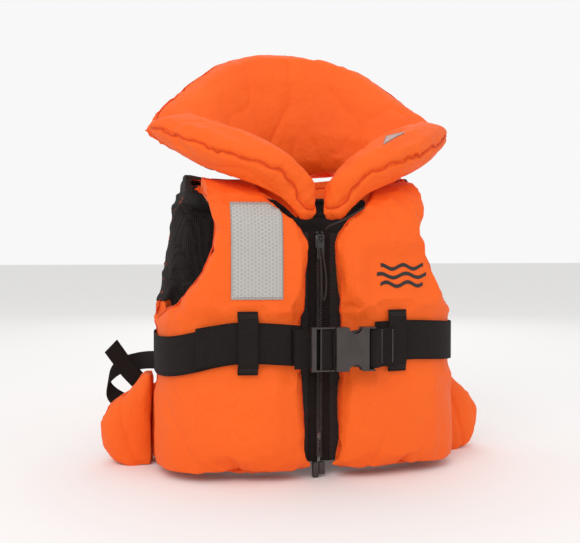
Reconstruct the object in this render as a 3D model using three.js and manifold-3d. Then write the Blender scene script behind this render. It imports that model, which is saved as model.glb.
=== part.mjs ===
// A child's foam buoyancy jacket: two padded fronts, a padded back, a high collar in three pads,
// hip pads, a waist belt with a side-release buckle and a front zip.
// Millimetres, +Z up, the fronts face -Y and +X is the wearer's left.
import * as THREE from "three";
import { mergeVertices } from "three/addons/utils/BufferGeometryUtils.js";
import Module from "manifold-3d";

const wasm = await Module();
wasm.setup();

// ---------------------------------------------------------------- driving dimensions
const GAP = 0.4; // between touching pieces
const COVER = 1.4; // cover cloth with its seam allowance
const FOAM_EDGE = 4.8; // how far the foam stops short of its cover's seams
const FOAM_FACE = 4; // and of its cover's and lining's faces
const LINING = 1.2;
const WEBBING = 1.5; // thickness of every strap
const SPLIT = 0.5; // half the gap between the fronts and the back, at y = 0

const HALF_WIDTH = 158; // torso, outside, at the side seams
const FRONT_DEPTH = 101; // from the side seams to the fronts' outer face
const BACK_DEPTH = 98; // from the side seams to the back's outer face
const SQUARENESS = 3; // exponent of the torso's plan: 2 is an ellipse
const FRONT_HEM = 10;
const BACK_HEM = 4;
const SHOULDER = 305; // top of the shoulders
const FRONT_PAD = 36; // thickness in the middle of a front
const BACK_PAD = 24;
const PAD_EDGE = 20; // thickness of a front at its seams
const VALLEY_DEPTH = 12; // how far the fronts fall back towards the zip
const VALLEY_WIDTH = 16;

const COLLAR_TIP = 169; // half-width over the collar's tips
const COLLAR_TOP = 470;
const COLLAR_PAD = 44; // thickness in the middle of a collar pad
const COLLAR_ARCH = 12; // how far the wings arch over the shoulders
const COLLAR_SAG = 1.15; // how much fuller the wings are below than above
const NECK_HALF = 62;
const NECK_BACK = 60;

const HIP_REACH = 214; // half-width over the hip pads
const HIP_PAD = 50;

const BELT_WIDTH = 40;
const BELT_FRONT_Z = 133; // centre of the belt at the buckle
const BELT_RISE = 6; // how far it rises beside the buckle
const BELT_FALL = 11; // how far it falls at the right side
const HIP_TOP = BELT_FRONT_Z - BELT_FALL - BELT_WIDTH / 2 - 4; // the hip pads end just below the belt
const LOOP_WIDTH = 20;
const LOOP_X = 76;
const LOOP_HEIGHT = 62;

const ZIP_EDGE = 8; // half the gap between the fronts at the zip
const ZIP_TOP = 247;
const ZIP_BOTTOM = 16;
const ZIP_Y = 21 - FRONT_DEPTH; // the zip lies in the valley between the fronts
const COIL_RADIUS = 1.2;
const COIL_X = 2.5;
const TAPE_THICKNESS = 0.9;
const TAPE_EDGE = 11; // half the width over both tapes
const SLIDER_LENGTH = 13;
const SLIDER_HALF_WIDTH = 4.6;
const PULL_LENGTH = 24;
const PULL_LOOP_LENGTH = 52;

const BUCKLE_HEIGHT = BELT_WIDTH + 3;
const BUCKLE_BACK_Y = -(FRONT_DEPTH + 6.4);
const FEMALE_DEPTH = 11.6;
const BUCKLE_JOIN_X = 8; // where the two halves meet
const FEMALE_LENGTH = 40;
const MALE_FRAME_LENGTH = 23;
const MALE_DEPTH = 6.4;
const WALL = 1.5; // moulded buckle wall
const PRONG_LENGTH = 25;
const PRONG_Z = 10; // pivot of each prong, from the buckle's centre line
const PRONG_THICKNESS = 3;

const PATCH_THICKNESS = 0.5;
const CORD_DIAMETER = 2;

// ---------------------------------------------------------------- materials
const material = (color, roughness, metalness = 0) =>
  new THREE.MeshStandardMaterial({ color, roughness, metalness });
const ORANGE = material(0xff6f27, 0.75);
const FOAM = material(0xe9e6dc, 0.9);
const BLACK_LINING = material(0x2a2422, 0.9);
const BLACK_WEBBING = material(0x241e1c, 0.8);
const BLACK_PLASTIC = material(0x2b2625, 0.4);
const BLACK_METAL = material(0x2a2624, 0.35, 0.6);
const REFLECTIVE = material(0xbab7b2, 0.4);
const WHITE_LABEL = material(0xf2f0ea, 0.7);

// ---------------------------------------------------------------- geometry helpers
const point = (x, y, z) => new THREE.Vector3(x, y, z);
const mix = THREE.MathUtils.lerp;

function signedVolume(geometry) {
  const { array } = geometry.attributes.position;
  const index = geometry.index.array;
  const corner = (i) => point(...array.slice(3 * index[i], 3 * index[i] + 3));
  let sum = 0;
  for (let i = 0; i < index.length; i += 3) sum += corner(i).dot(corner(i + 1).cross(corner(i + 2)));
  return sum;
}

// Leaves only shared positions, with every face pointing out.
function weld(geometry) {
  geometry.deleteAttribute("normal");
  geometry.deleteAttribute("uv");
  const welded = mergeVertices(geometry, 1e-4);
  if (signedVolume(welded) < 0) welded.index.array.reverse();
  return welded;
}

// A closed sheet one layer thick whose grid lines lie at the given stations; place(u, v, w) bends it
// into shape, with w = 0 on one face and 1 on the other. Both faces are split along the same diagonals,
// so that sheets stacked on one another keep an even gap.
function block(us, vs, place) {
  const rows = vs.length;
  const corners = us.flatMap((u) => vs.flatMap((v) => [0, 1].flatMap((w) => place(u, v, w).toArray())));
  const at = (i, j, w) => 2 * (i * rows + j) + w;
  const triangles = [];
  const quad = (a, b, c, d) => triangles.push(a, b, c, a, c, d);
  for (let i = 0; i < us.length - 1; i++) {
    for (let j = 0; j < rows - 1; j++) {
      quad(at(i, j, 1), at(i + 1, j, 1), at(i + 1, j + 1, 1), at(i, j + 1, 1));
      triangles.push(at(i, j, 0), at(i + 1, j + 1, 0), at(i + 1, j, 0));
      triangles.push(at(i, j, 0), at(i, j + 1, 0), at(i + 1, j + 1, 0));
    }
    quad(at(i, 0, 0), at(i + 1, 0, 0), at(i + 1, 0, 1), at(i, 0, 1));
    quad(at(i, rows - 1, 1), at(i + 1, rows - 1, 1), at(i + 1, rows - 1, 0), at(i, rows - 1, 0));
  }
  for (let j = 0; j < rows - 1; j++) {
    const last = us.length - 1;
    quad(at(0, j, 0), at(0, j, 1), at(0, j + 1, 1), at(0, j + 1, 0));
    quad(at(last, j, 1), at(last, j, 0), at(last, j + 1, 0), at(last, j + 1, 1));
  }
  const geometry = new THREE.BufferGeometry();
  geometry.setAttribute("position", new THREE.Float32BufferAttribute(corners, 3));
  geometry.setIndex(triangles);
  return weld(geometry);
}

const even = (count) => Array.from({ length: count + 1 }, (_, i) => i / count);

const solid = (geometry) => {
  const mesh = { numProp: 3, vertProperties: geometry.attributes.position.array, triVerts: new Uint32Array(geometry.index.array) };
  return new wasm.Manifold(new wasm.Mesh(mesh));
};

function geometryOf(manifold) {
  const mesh = manifold.getMesh();
  const geometry = new THREE.BufferGeometry();
  geometry.setAttribute("position", new THREE.BufferAttribute(new Float32Array(mesh.vertProperties), 3));
  geometry.setIndex(new THREE.BufferAttribute(new Uint32Array(mesh.triVerts), 1));
  return geometry;
}

function box(x0, x1, y0, y1, z0, z1) {
  const geometry = new THREE.BoxGeometry(Math.abs(x1 - x0), Math.abs(y1 - y0), Math.abs(z1 - z0));
  geometry.translate((x0 + x1) / 2, (y0 + y1) / 2, (z0 + z1) / 2);
  return weld(geometry);
}

function cylinderY(radius, x, z, y0, y1, sides = 24) {
  const geometry = new THREE.CylinderGeometry(radius, radius, Math.abs(y1 - y0), sides);
  geometry.translate(x, (y0 + y1) / 2, z);
  return weld(geometry);
}

const cut = (geometry, ...tools) =>
  geometryOf(tools.reduce((rest, tool) => rest.subtract(solid(tool)), solid(geometry)));
const join = (geometry, ...others) =>
  geometryOf(others.reduce((sum, other) => sum.add(solid(other)), solid(geometry)));

// A flat strap along a path. `across(t)` is the direction of its width.
function ribbon(points, across, width, thickness, steps) {
  const curve = new THREE.CatmullRomCurve3(points, false, "centripetal");
  return block(even(steps), [0, 1], (u, v, w) => {
    const wide = across(u).clone().normalize();
    const normal = curve.getTangentAt(u).cross(wide).normalize();
    return curve
      .getPointAt(u)
      .addScaledVector(wide, (v - 0.5) * width)
      .addScaledVector(normal, (w - 0.5) * thickness);
  });
}

// ---------------------------------------------------------------- torso surfaces
// Rows from the hem up: height, depth at the middle, half-width of the plan, inner and outer edge.
const FRONT_ROWS = [
  [FRONT_HEM, FRONT_DEPTH - 3, HALF_WIDTH + 2, ZIP_EDGE, HALF_WIDTH + 2],
  [40, FRONT_DEPTH, HALF_WIDTH + 1, ZIP_EDGE, HALF_WIDTH + 1],
  [75, FRONT_DEPTH, HALF_WIDTH, ZIP_EDGE, HALF_WIDTH],
  [110, FRONT_DEPTH, HALF_WIDTH, ZIP_EDGE, HALF_WIDTH],
  [158, FRONT_DEPTH, HALF_WIDTH, ZIP_EDGE, HALF_WIDTH],
  [174, FRONT_DEPTH + 1, HALF_WIDTH, ZIP_EDGE, HALF_WIDTH - 2],
  [186, FRONT_DEPTH + 2, HALF_WIDTH + 1, ZIP_EDGE, HALF_WIDTH - 14],
  [210, FRONT_DEPTH + 2, HALF_WIDTH + 3, ZIP_EDGE, 128],
  [240, FRONT_DEPTH + 1, HALF_WIDTH + 10, ZIP_EDGE, 117],
  [258, FRONT_DEPTH - 1, HALF_WIDTH + 17, 18, 114],
  [274, FRONT_DEPTH - 8, 190, 38, 113],
  [SHOULDER - 18, FRONT_DEPTH - 22, 230, 53, 112],
  [SHOULDER - 8, FRONT_DEPTH - 44, 320, 59, 112],
  [SHOULDER - 2, FRONT_DEPTH - 70, 500, 61, 112],
  [SHOULDER, SPLIT, 900, NECK_HALF, 112],
];
const BACK_ROWS = [
  [BACK_HEM, BACK_DEPTH - 3, HALF_WIDTH + 2, 0, HALF_WIDTH + 2],
  [45, BACK_DEPTH, HALF_WIDTH + 1, 0, HALF_WIDTH + 1],
  [105, BACK_DEPTH, HALF_WIDTH, 0, HALF_WIDTH],
  [158, BACK_DEPTH, HALF_WIDTH, 0, HALF_WIDTH],
  [178, BACK_DEPTH + 1, HALF_WIDTH + 1, 0, HALF_WIDTH - 1],
  [195, BACK_DEPTH + 2, HALF_WIDTH + 3, 0, HALF_WIDTH - 7],
  [225, BACK_DEPTH + 2, HALF_WIDTH + 9, 0, 147],
  [255, BACK_DEPTH, HALF_WIDTH + 18, 0, 142],
  [280, BACK_DEPTH - 4, 200, 0, 137],
  [SHOULDER - 11, BACK_DEPTH - 14, 240, 0, 131],
  [SHOULDER - 3, BACK_DEPTH - 34, 360, 0, 127],
  [SHOULDER, SPLIT, 900, 0, 124],
];

// A row between two stations; `v` runs from 0 at the hem to 1 at the shoulder, row by row.
function rowAt(rows, v) {
  const place = v * (rows.length - 1);
  const low = Math.min(Math.floor(place), rows.length - 2);
  return rows[low].map((value, i) => mix(value, rows[low + 1][i], place - low));
}

// Which v puts a point at height z.
function heightToV(rows, z) {
  const next = rows.findIndex((row) => row[0] >= z);
  const upper = Math.max(next, 1);
  const share = (z - rows[upper - 1][0]) / (rows[upper][0] - rows[upper - 1][0]);
  return (upper - 1 + share) / (rows.length - 1);
}

const planAngle = (x, half) => Math.asin(Math.min(1, (x / half) ** (SQUARENESS / 2)));

// Fullness of a pillow: 0 at its edges, 1 inside.
const fullness = (u, v) => (1 - Math.abs(2 * u - 1) ** 6) * (1 - Math.abs(2 * v - 1) ** 10);

// Outer face of a front or of the back, on the side x = side * |x|. `facing` is -1 in front.
function torsoPoint(rows, facing, side, x, v) {
  const [z, depth, half] = rowAt(rows, v);
  const angle = planAngle(x, half);
  const valley = facing < 0 ? VALLEY_DEPTH * Math.exp(-((x / VALLEY_WIDTH) ** 2)) : 0;
  const y = depth * Math.cos(angle) ** (2 / SQUARENESS);
  return point(side * x, facing * Math.max(SPLIT, y - Math.min(valley, y)), z);
}

// x at share u of a row, with equal steps of plan angle so that the side is as finely cut as the front.
function rowX(row, u) {
  const [, , half, inner, outer] = row;
  const angle = mix(planAngle(inner, half), planAngle(outer, half), u);
  return half * Math.sin(angle) ** (2 / SQUARENESS);
}

function normalOf(surface, u, v) {
  const step = 0.004;
  const du = surface(Math.min(1, u + step), v).sub(surface(Math.max(0, u - step), v));
  const dv = surface(u, Math.min(1, v + step)).sub(surface(u, Math.max(0, v - step)));
  return du.cross(dv).normalize();
}

// ---------------------------------------------------------------- pads
// A face held at its grid lines and flat between them, so that every layer of a pad shares its facets.
function faceted(face, us, vs) {
  const points = us.map((u) => vs.map((v) => face(u, v)));
  const locate = (list, value) => {
    const next = list.findIndex((station) => station > value);
    const low = THREE.MathUtils.clamp(next < 0 ? list.length - 2 : next - 1, 0, list.length - 2);
    return [low, (value - list[low]) / (list[low + 1] - list[low])];
  };
  return (u, v) => {
    const [i, a] = locate(us, u);
    const [j, b] = locate(vs, v);
    const start = points[i][j];
    const across = points[i + 1][j + 1];
    const elbow = a > b ? points[i + 1][j] : points[i][j + 1];
    const [first, second] = a > b ? [a, b] : [b, a];
    return start.clone()
      .addScaledVector(elbow.clone().sub(start), first)
      .addScaledVector(across.clone().sub(elbow), second);
  };
}

// A pad is a cover round a block of foam. `outer` and `inner` are its two faces. A lined pad has a
// lining on its inner face and its cover is open towards it; any other cover is open at v = 0, where
// the pad is sewn on.
function pad({ outer, inner, us, vs, lined }) {
  const near = faceted(outer, us, vs);
  const far = faceted(inner, us, vs);
  const layer = (uList, vList, outerDepth, innerDepth) =>
    block(uList, vList, (u, v, w) => {
      const a = near(u, v);
      const b = far(u, v);
      const along = b.clone().sub(a).normalize();
      return w === 0 ? a.addScaledVector(along, outerDepth) : b.addScaledVector(along, -innerDepth);
    });
  const spanU = near(0, 0.5).distanceTo(near(1, 0.5));
  const spanV = near(0.5, 0).distanceTo(near(0.5, 1));
  const inset = (list, first, last) => [first, ...list.slice(1, -1), 1 - last];
  const around = (margin, opening) => [
    inset(us, margin / spanU, margin / spanU),
    inset(vs, (lined ? margin : opening) / spanV, margin / spanV),
  ];
  const rim = lined ? LINING + GAP : 0;
  const hollowEnd = lined ? -2 * COVER : COVER;
  const foamEnd = (lined ? LINING : COVER) + FOAM_FACE;
  const parts = {
    cover: cut(layer(us, vs, 0, rim), layer(...around(COVER, -COVER), COVER, hollowEnd)),
    foam: layer(...around(COVER + FOAM_EDGE, FOAM_EDGE), COVER + FOAM_FACE, foamEnd),
  };
  if (lined) {
    parts.lining = block(us, vs, (u, v, w) => {
      const b = far(u, v);
      const along = b.clone().sub(near(u, v)).normalize();
      return b.addScaledVector(along, (w - 1) * LINING);
    });
  }
  return parts;
}

const PAD_COLUMNS = [0, 0.1, 0.28, 0.46, 0.62, 0.76, 0.89, 1];

function frontSurface(side) {
  return (u, v) => {
    const row = rowAt(FRONT_ROWS, v);
    return torsoPoint(FRONT_ROWS, -1, side, rowX(row, u), v);
  };
}

// The point `depth` under an outer face, kept on its own side of y = 0.
function under(surface, u, v, depth, facing, side) {
  const normal = normalOf(surface, u, v);
  if (normal.dot(point(side * 0.2, facing, 0.6)) > 0) normal.negate();
  const p = surface(u, v).addScaledVector(normal, depth);
  p.y = facing * Math.max(SPLIT, facing * p.y);
  return p;
}

function frontPad(side) {
  const surface = frontSurface(side);
  const thickness = (u, v) => mix(PAD_EDGE, FRONT_PAD, fullness(mix(0.06, 1, u), mix(0.12, 0.94, v)));
  return pad({
    outer: surface,
    inner: (u, v) => under(surface, u, v, thickness(u, v), -1, side),
    us: PAD_COLUMNS,
    vs: even(FRONT_ROWS.length - 1),
    lined: true,
  });
}

function backPad() {
  const surface = (u, v) => {
    const row = rowAt(BACK_ROWS, v);
    const across = 2 * u - 1;
    return torsoPoint(BACK_ROWS, 1, Math.sign(across) || 1, rowX(row, Math.abs(across)), v);
  };
  const thickness = (u, v) => mix(PAD_EDGE, BACK_PAD, fullness(u, v));
  const inner = (u, v) => {
    const normal = normalOf(surface, u, v);
    if (normal.dot(point((2 * u - 1) * 0.5, 1, 0.8)) > 0) normal.negate();
    const p = surface(u, v).addScaledVector(normal, thickness(u, v));
    p.y = Math.max(SPLIT, p.y);
    return p;
  };
  const parts = pad({ outer: surface, inner, us: even(12), vs: even(BACK_ROWS.length - 1), lined: true });
  return {
    cover: cut(parts.cover, neckHole(0)),
    foam: cut(parts.foam, neckHole(COVER)),
    lining: cut(parts.lining, neckHole(0)),
  };
}

// Upright cutter that opens the back pad for the neck.
function neckHole(extra) {
  const outline = new THREE.Shape();
  outline.absellipse(0, 0, NECK_HALF + extra, NECK_BACK + extra, 0, 2 * Math.PI);
  const height = 120;
  const geometry = new THREE.ExtrudeGeometry(outline, { depth: height, bevelEnabled: false, curveSegments: 16 });
  geometry.translate(0, 0, SHOULDER - 65);
  return weld(geometry);
}

// ---------------------------------------------------------------- collar
const curve = (...points) => new THREE.CatmullRomCurve3(points.map((p) => point(...p)), false, "centripetal");

// Edges of the wearer's left wing, from the V at the zip to the tip at the side.
const WING_OUTER = curve(
  [15, 8 - FRONT_DEPTH, 266], [26, -FRONT_DEPTH, 287], [50, -FRONT_DEPTH - 5, 302], [80, -FRONT_DEPTH, 314],
  [112, 16 - FRONT_DEPTH, 329], [143, -53, 344], [162, -22, 356], [COLLAR_TIP, -SPLIT, 359],
);
const WING_NECK = curve(
  [12, 23 - FRONT_DEPTH, 258], [18, 24 - FRONT_DEPTH, 276], [33, 31 - FRONT_DEPTH, 291], [48, 43 - FRONT_DEPTH, 302],
  [56, -42, 309], [60, -26, 313], [62, -12, 315], [63, -SPLIT, 315],
);
const BACK_TOP = curve(
  [-COLLAR_TIP, SPLIT, 359], [-150, 30, 388], [-130, 52, 411], [-99, 74, 439], [-62, 91, 460],
  [0, 98, COLLAR_TOP - 1],
  [62, 91, 460], [99, 74, 439], [130, 52, 411], [150, 30, 388], [COLLAR_TIP, SPLIT, 359],
);
const BACK_NECK = curve(
  [-63, SPLIT, 315], [-61, 22, 313], [-51, 44, 310], [-28, 62, 308],
  [0, 67, 307],
  [28, 62, 308], [51, 44, 310], [61, 22, 313], [63, SPLIT, 315],
);

// A pillow between two edge curves; u runs along them and v from the neck edge to the outer edge.
// `arch` lifts its middle off the straight line between them, and `sag` is how many times further it
// hangs below that middle than it stands above it, towards its far end.
function pillow(neckEdge, outerEdge, side, facing, up, thickness, arch, sag) {
  const middle = (u, v) => {
    const p = neckEdge.getPointAt(u).lerp(outerEdge.getPointAt(u), v);
    const rise = arch * Math.sin(Math.PI * THREE.MathUtils.clamp(v, 0, 1)) * Math.min(1, 4 * u);
    return point(side * p.x, p.y, p.z + rise);
  };
  const half = (u, v) => {
    const across = Math.sqrt(Math.max(0, 1 - (2 * v - 1) ** 2));
    const along = Math.sqrt(Math.max(0, 1 - Math.abs(2 * u - 1) ** 4));
    return mix(3.2, thickness / 2, across * mix(0.45, 1, along));
  };
  const face = (sign) => (u, v) => {
    const inside = THREE.MathUtils.clamp(v, 0, 1);
    const normal = normalOf(middle, u, inside);
    if (normal.dot(up(u)) < 0) normal.negate();
    const fuller = sign < 0 ? mix(1, sag, Math.min(1, 1.8 * u)) : 1;
    const p = middle(u, v).addScaledVector(normal, sign * fuller * half(u, inside));
    p.y = facing * Math.max(SPLIT, facing * p.y);
    return p;
  };
  return { outer: face(1), inner: face(-1) };
}

const COLLAR_ACROSS = [0, 0.08, 0.3, 0.7, 0.92, 1];

function collarWing(side) {
  const faces = pillow(WING_NECK, WING_OUTER, side, -1, () => point(0, -0.4, 1), COLLAR_PAD, COLLAR_ARCH, COLLAR_SAG);
  return pad({ ...faces, us: even(8), vs: COLLAR_ACROSS, lined: false });
}

function collarBack() {
  const faces = pillow(BACK_NECK, BACK_TOP, 1, 1, () => point(0, -1, 0.5), COLLAR_PAD, 0, 1);
  return pad({ ...faces, us: even(14), vs: COLLAR_ACROSS, lined: false });
}

// ---------------------------------------------------------------- hip pads
// Rows from the floor up: height, share of the reach, centre y.
const HIP_ROWS = [
  [0, 0.55, 19], [6, 0.78, 23], [22, 0.96, 26], [45, 1, 26], [64, 0.78, 26], [80, 0.34, 23], [HIP_TOP, 0.08, 19],
];

// The back's side at depth y, where a hip pad is sewn to it.
function backSide(y) {
  const half = HALF_WIDTH + 2;
  return half * (1 - (Math.max(0, y) / (BACK_DEPTH - 3)) ** SQUARENESS) ** (1 / SQUARENESS);
}

function hipPad(side) {
  const faceOf = (sign) => (u, v) => {
    const [z, reach, centre] = rowAt(HIP_ROWS, u);
    const rounded = Math.sqrt(Math.max(0, 1 - THREE.MathUtils.clamp(v, 0, 1) ** 4));
    const half = mix(3.2, HIP_PAD / 2, rounded * mix(0.55, 1, Math.sin(Math.PI * mix(0.12, 0.88, u))));
    const y = centre + sign * half;
    const innerX = backSide(y) + 3 * GAP;
    const x = mix(innerX, mix(HALF_WIDTH + 4, HIP_REACH, reach) + 4, v);
    return point(side * x, y, z);
  };
  return pad({ outer: faceOf(1), inner: faceOf(-1), us: even(HIP_ROWS.length - 1), vs: [0, 0.3, 0.6, 0.85, 1], lined: false });
}

// ---------------------------------------------------------------- belt
// The belt rides a little higher beside the buckle than at it, and falls at the right side.
function beltHeight(x) {
  const share = Math.min(1, Math.abs(x) / HALF_WIDTH);
  const fall = x < 0 ? BELT_FALL * THREE.MathUtils.smoothstep(share, 0.5, 1) : 0;
  return BELT_FRONT_Z + BELT_RISE * Math.sin(Math.PI * share) - fall;
}

// A point on the belt's plan, `lift` outside the pads, at plan angle `turn` from the front centre.
function beltPoint(facing, x, lift) {
  const half = HALF_WIDTH + GAP + lift;
  const depth = (facing < 0 ? FRONT_DEPTH : BACK_DEPTH + 1) + GAP + lift;
  const angle = planAngle(Math.min(Math.abs(x), half), half);
  const y = Math.max(SPLIT, depth * Math.cos(angle) ** (2 / SQUARENESS));
  return point(x, facing * y, beltHeight(x));
}

// Stations of x from the front round to the side seam.
const sideStations = (from, half) => {
  const count = 9;
  const first = planAngle(from, half);
  const last = Math.PI / 2 - 0.002;
  return even(count).map((share) => half * Math.sin(mix(first, last, share)) ** (2 / SQUARENESS));
};

const UPRIGHT = () => point(0, 0, 1);

// A front length of belt. `until` is how far round it goes, and `rise` how far its end stands up.
function beltFront(side, from, lift, until = 1, rise = 0) {
  const xs = sideStations(from, HALF_WIDTH + GAP + lift).slice(0, Math.round(until * 9) + 1);
  const points = xs.map((x, i) => beltPoint(-1, side * x, lift).add(point(0, 0, rise * (i / xs.length) ** 2)));
  return ribbon(points, UPRIGHT, BELT_WIDTH, WEBBING, 20);
}

const BELT_LIFT = WEBBING / 2 + 0.5;
const TAIL_LIFT = BELT_LIFT + WEBBING + GAP;

function beltBack() {
  const half = HALF_WIDTH + GAP + BELT_LIFT;
  const right = sideStations(1, half);
  const xs = [...right.slice().reverse().map((x) => -x), ...right];
  return ribbon(xs.map((x) => beltPoint(1, x, BELT_LIFT)), UPRIGHT, BELT_WIDTH, WEBBING, 44);
}

// A short upright strap that holds the belt to a pad; `stack` is how thick the belt is there.
function beltLoop(facing, x, stack) {
  const rows = facing < 0 ? FRONT_ROWS : BACK_ROWS;
  const centre = beltHeight(x);
  const pads = (z) => {
    const p = torsoPoint(rows, facing, Math.sign(x), Math.abs(x), heightToV(rows, z));
    return point(p.x, p.y + facing * (WEBBING / 2 + GAP + 0.6), z);
  };
  const belt = beltPoint(facing, x, stack + WEBBING / 2 + GAP);
  const over = (z) => point(belt.x, belt.y, z);
  const half = BELT_WIDTH / 2 + 2;
  const points = [
    pads(centre - LOOP_HEIGHT / 2), pads(centre - half - 5), over(centre - half),
    over(centre), over(centre + half), pads(centre + half + 5), pads(centre + LOOP_HEIGHT / 2),
  ];
  const slope = beltPoint(facing, x + 1, 0).sub(beltPoint(facing, x - 1, 0)).setZ(0);
  return ribbon(points, () => slope, LOOP_WIDTH, WEBBING, 14);
}

// ---------------------------------------------------------------- buckle
const BUCKLE_Z0 = BELT_FRONT_Z - BUCKLE_HEIGHT / 2;
const BUCKLE_Z1 = BELT_FRONT_Z + BUCKLE_HEIGHT / 2;
const FEMALE_FRONT_Y = BUCKLE_BACK_Y - FEMALE_DEPTH;
const WINDOW_X = BUCKLE_JOIN_X + 12; // edge that the prong's barb catches on
const WINDOW_LENGTH = 15;
const REAR_BAR = 3.4;
const REAR_SLOT = 3.4;
const SIDE_WALL = 4.5; // female's wall above and below the socket
const FEMALE_END_X = BUCKLE_JOIN_X + FEMALE_LENGTH;

function buckleFemale() {
  const body = box(BUCKLE_JOIN_X, FEMALE_END_X, FEMALE_FRONT_Y, BUCKLE_BACK_Y, BUCKLE_Z0, BUCKLE_Z1);
  const socketEnd = FEMALE_END_X - REAR_BAR - REAR_SLOT - 2;
  const socket = box(
    BUCKLE_JOIN_X - 1, socketEnd,
    FEMALE_FRONT_Y + WALL, BUCKLE_BACK_Y - WALL,
    BUCKLE_Z0 + SIDE_WALL, BUCKLE_Z1 - SIDE_WALL,
  );
  const window = box(
    WINDOW_X, WINDOW_X + WINDOW_LENGTH,
    FEMALE_FRONT_Y + WALL, BUCKLE_BACK_Y - WALL, BUCKLE_Z0 - 1, BUCKLE_Z1 + 1,
  );
  const slot = box(
    FEMALE_END_X - REAR_BAR - REAR_SLOT, FEMALE_END_X - REAR_BAR,
    FEMALE_FRONT_Y - 1, BUCKLE_BACK_Y + 1, BUCKLE_Z0 + 1.5, BUCKLE_Z1 - 1.5,
  );
  const barRelief = box(
    FEMALE_END_X - REAR_BAR - 1, FEMALE_END_X + 1,
    FEMALE_FRONT_Y - 1, BUCKLE_BACK_Y - 6, BUCKLE_Z0 + 1.5, BUCKLE_Z1 - 1.5,
  );
  const notchRadius = 6.5;
  const notchX = WINDOW_X + WINDOW_LENGTH / 2;
  const notches = [BUCKLE_Z0, BUCKLE_Z1].map((z) =>
    cylinderY(notchRadius, notchX, z, FEMALE_FRONT_Y - 1, BUCKLE_BACK_Y + 1));
  return cut(body, socket, window, slot, barRelief, ...notches);
}

const MALE_START_X = BUCKLE_JOIN_X - 0.6 - MALE_FRAME_LENGTH;
const MALE_Y1 = BUCKLE_BACK_Y - 1.6;
const MALE_Y0 = MALE_Y1 - MALE_DEPTH;
const PRONG_Y1 = MALE_Y1 - 0.2;
const PRONG_Y0 = PRONG_Y1 - PRONG_THICKNESS;
const PRONG_ROOT_X = BUCKLE_JOIN_X + 1.4;
const MALE_BAR_X = MALE_START_X + 9.2;
const MALE_BAR = 9;
const MALE_SLOT = 4.8;

function buckleMale() {
  const plate = box(MALE_START_X, BUCKLE_JOIN_X - 0.6, MALE_Y0, MALE_Y1, BUCKLE_Z0, BUCKLE_Z1);
  const slots = [MALE_BAR_X - MALE_SLOT, MALE_BAR_X + MALE_BAR].map((x) =>
    box(x, x + MALE_SLOT - 0.4, MALE_Y0 - 1, MALE_Y1 + 1, BUCKLE_Z0 + 1.4, BUCKLE_Z1 - 1.4));
  const sunkBar = box(
    MALE_BAR_X - 0.5, MALE_BAR_X + MALE_BAR + 0.5,
    MALE_Y0 - 1, MALE_Y0 + 2.2, BUCKLE_Z0 + 1.4, BUCKLE_Z1 - 1.4,
  );
  const tongue = box(
    BUCKLE_JOIN_X - 1.2, BUCKLE_JOIN_X + 20,
    PRONG_Y0, PRONG_Y1, BELT_FRONT_Z - 3, BELT_FRONT_Z + 3,
  );
  return join(cut(plate, ...slots, sunkBar), tongue);
}

// A springy arm whose shallow barb reaches into the female's window.
function prong(side) {
  const wallInside = BUCKLE_HEIGHT / 2 - SIDE_WALL;
  const tip = PRONG_ROOT_X + PRONG_LENGTH;
  const outline = new THREE.Shape([
    new THREE.Vector2(PRONG_ROOT_X, PRONG_Z - 2.2),
    new THREE.Vector2(tip, PRONG_Z + 1),
    new THREE.Vector2(tip, wallInside - 1.5),
    new THREE.Vector2(tip - 1.5, wallInside + 1.35),
    new THREE.Vector2(tip - 4, wallInside + 1.35),
    new THREE.Vector2(WINDOW_X + 3.5, wallInside + 0.15),
    new THREE.Vector2(WINDOW_X - 0.5, wallInside - 0.6),
    new THREE.Vector2(WINDOW_X - 4, wallInside - 3),
    new THREE.Vector2(PRONG_ROOT_X, PRONG_Z + 2.2),
  ]);
  const geometry = new THREE.ExtrudeGeometry(outline, { depth: PRONG_THICKNESS, bevelEnabled: false });
  geometry.rotateX(Math.PI / 2);
  if (side < 0) geometry.scale(1, 1, -1);
  geometry.translate(0, PRONG_Y1, BELT_FRONT_Z);
  return weld(geometry);
}

// Belt webbing folded round the male half's bar.
function buckleWebbing() {
  const wrapX = MALE_BAR_X + MALE_BAR + MALE_SLOT / 2 - 0.2;
  const backY = MALE_Y1 + 0.9;
  const frontY = MALE_Y0 + 1.1;
  const start = MALE_START_X - 16;
  const points = [
    point(start, backY - 0.2, BELT_FRONT_Z), point(MALE_BAR_X - 2, backY, BELT_FRONT_Z),
    point(wrapX - 1.6, backY, BELT_FRONT_Z), point(wrapX - 0.1, backY - 1.8, BELT_FRONT_Z),
    point(wrapX - 0.1, frontY + 1.6, BELT_FRONT_Z), point(wrapX - 1.8, frontY, BELT_FRONT_Z),
    point(MALE_BAR_X + 1.2, frontY, BELT_FRONT_Z),
  ];
  return ribbon(points, UPRIGHT, BELT_WIDTH - 1.2, 1.1, 30);
}

// ---------------------------------------------------------------- zip
const TAPE_FRONT_Y = ZIP_Y + 0.4;

const zipTape = (side) =>
  box(side * 1.4, side * TAPE_EDGE, TAPE_FRONT_Y, TAPE_FRONT_Y + TAPE_THICKNESS, ZIP_BOTTOM, ZIP_TOP);

function zipCoil(side) {
  const length = ZIP_TOP - ZIP_BOTTOM - 6;
  const geometry = new THREE.CylinderGeometry(COIL_RADIUS, COIL_RADIUS, length, 8);
  geometry.rotateX(Math.PI / 2);
  geometry.translate(side * COIL_X, TAPE_FRONT_Y - GAP - COIL_RADIUS, ZIP_BOTTOM + 4 + length / 2);
  return weld(geometry);
}

const zipStop = (side) => {
  const y = TAPE_FRONT_Y - GAP;
  return box(side * (COIL_X - 1), side * (COIL_X + 1.4), y - 2.4, y, ZIP_TOP - 1.4, ZIP_TOP + 1.2);
};

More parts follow.
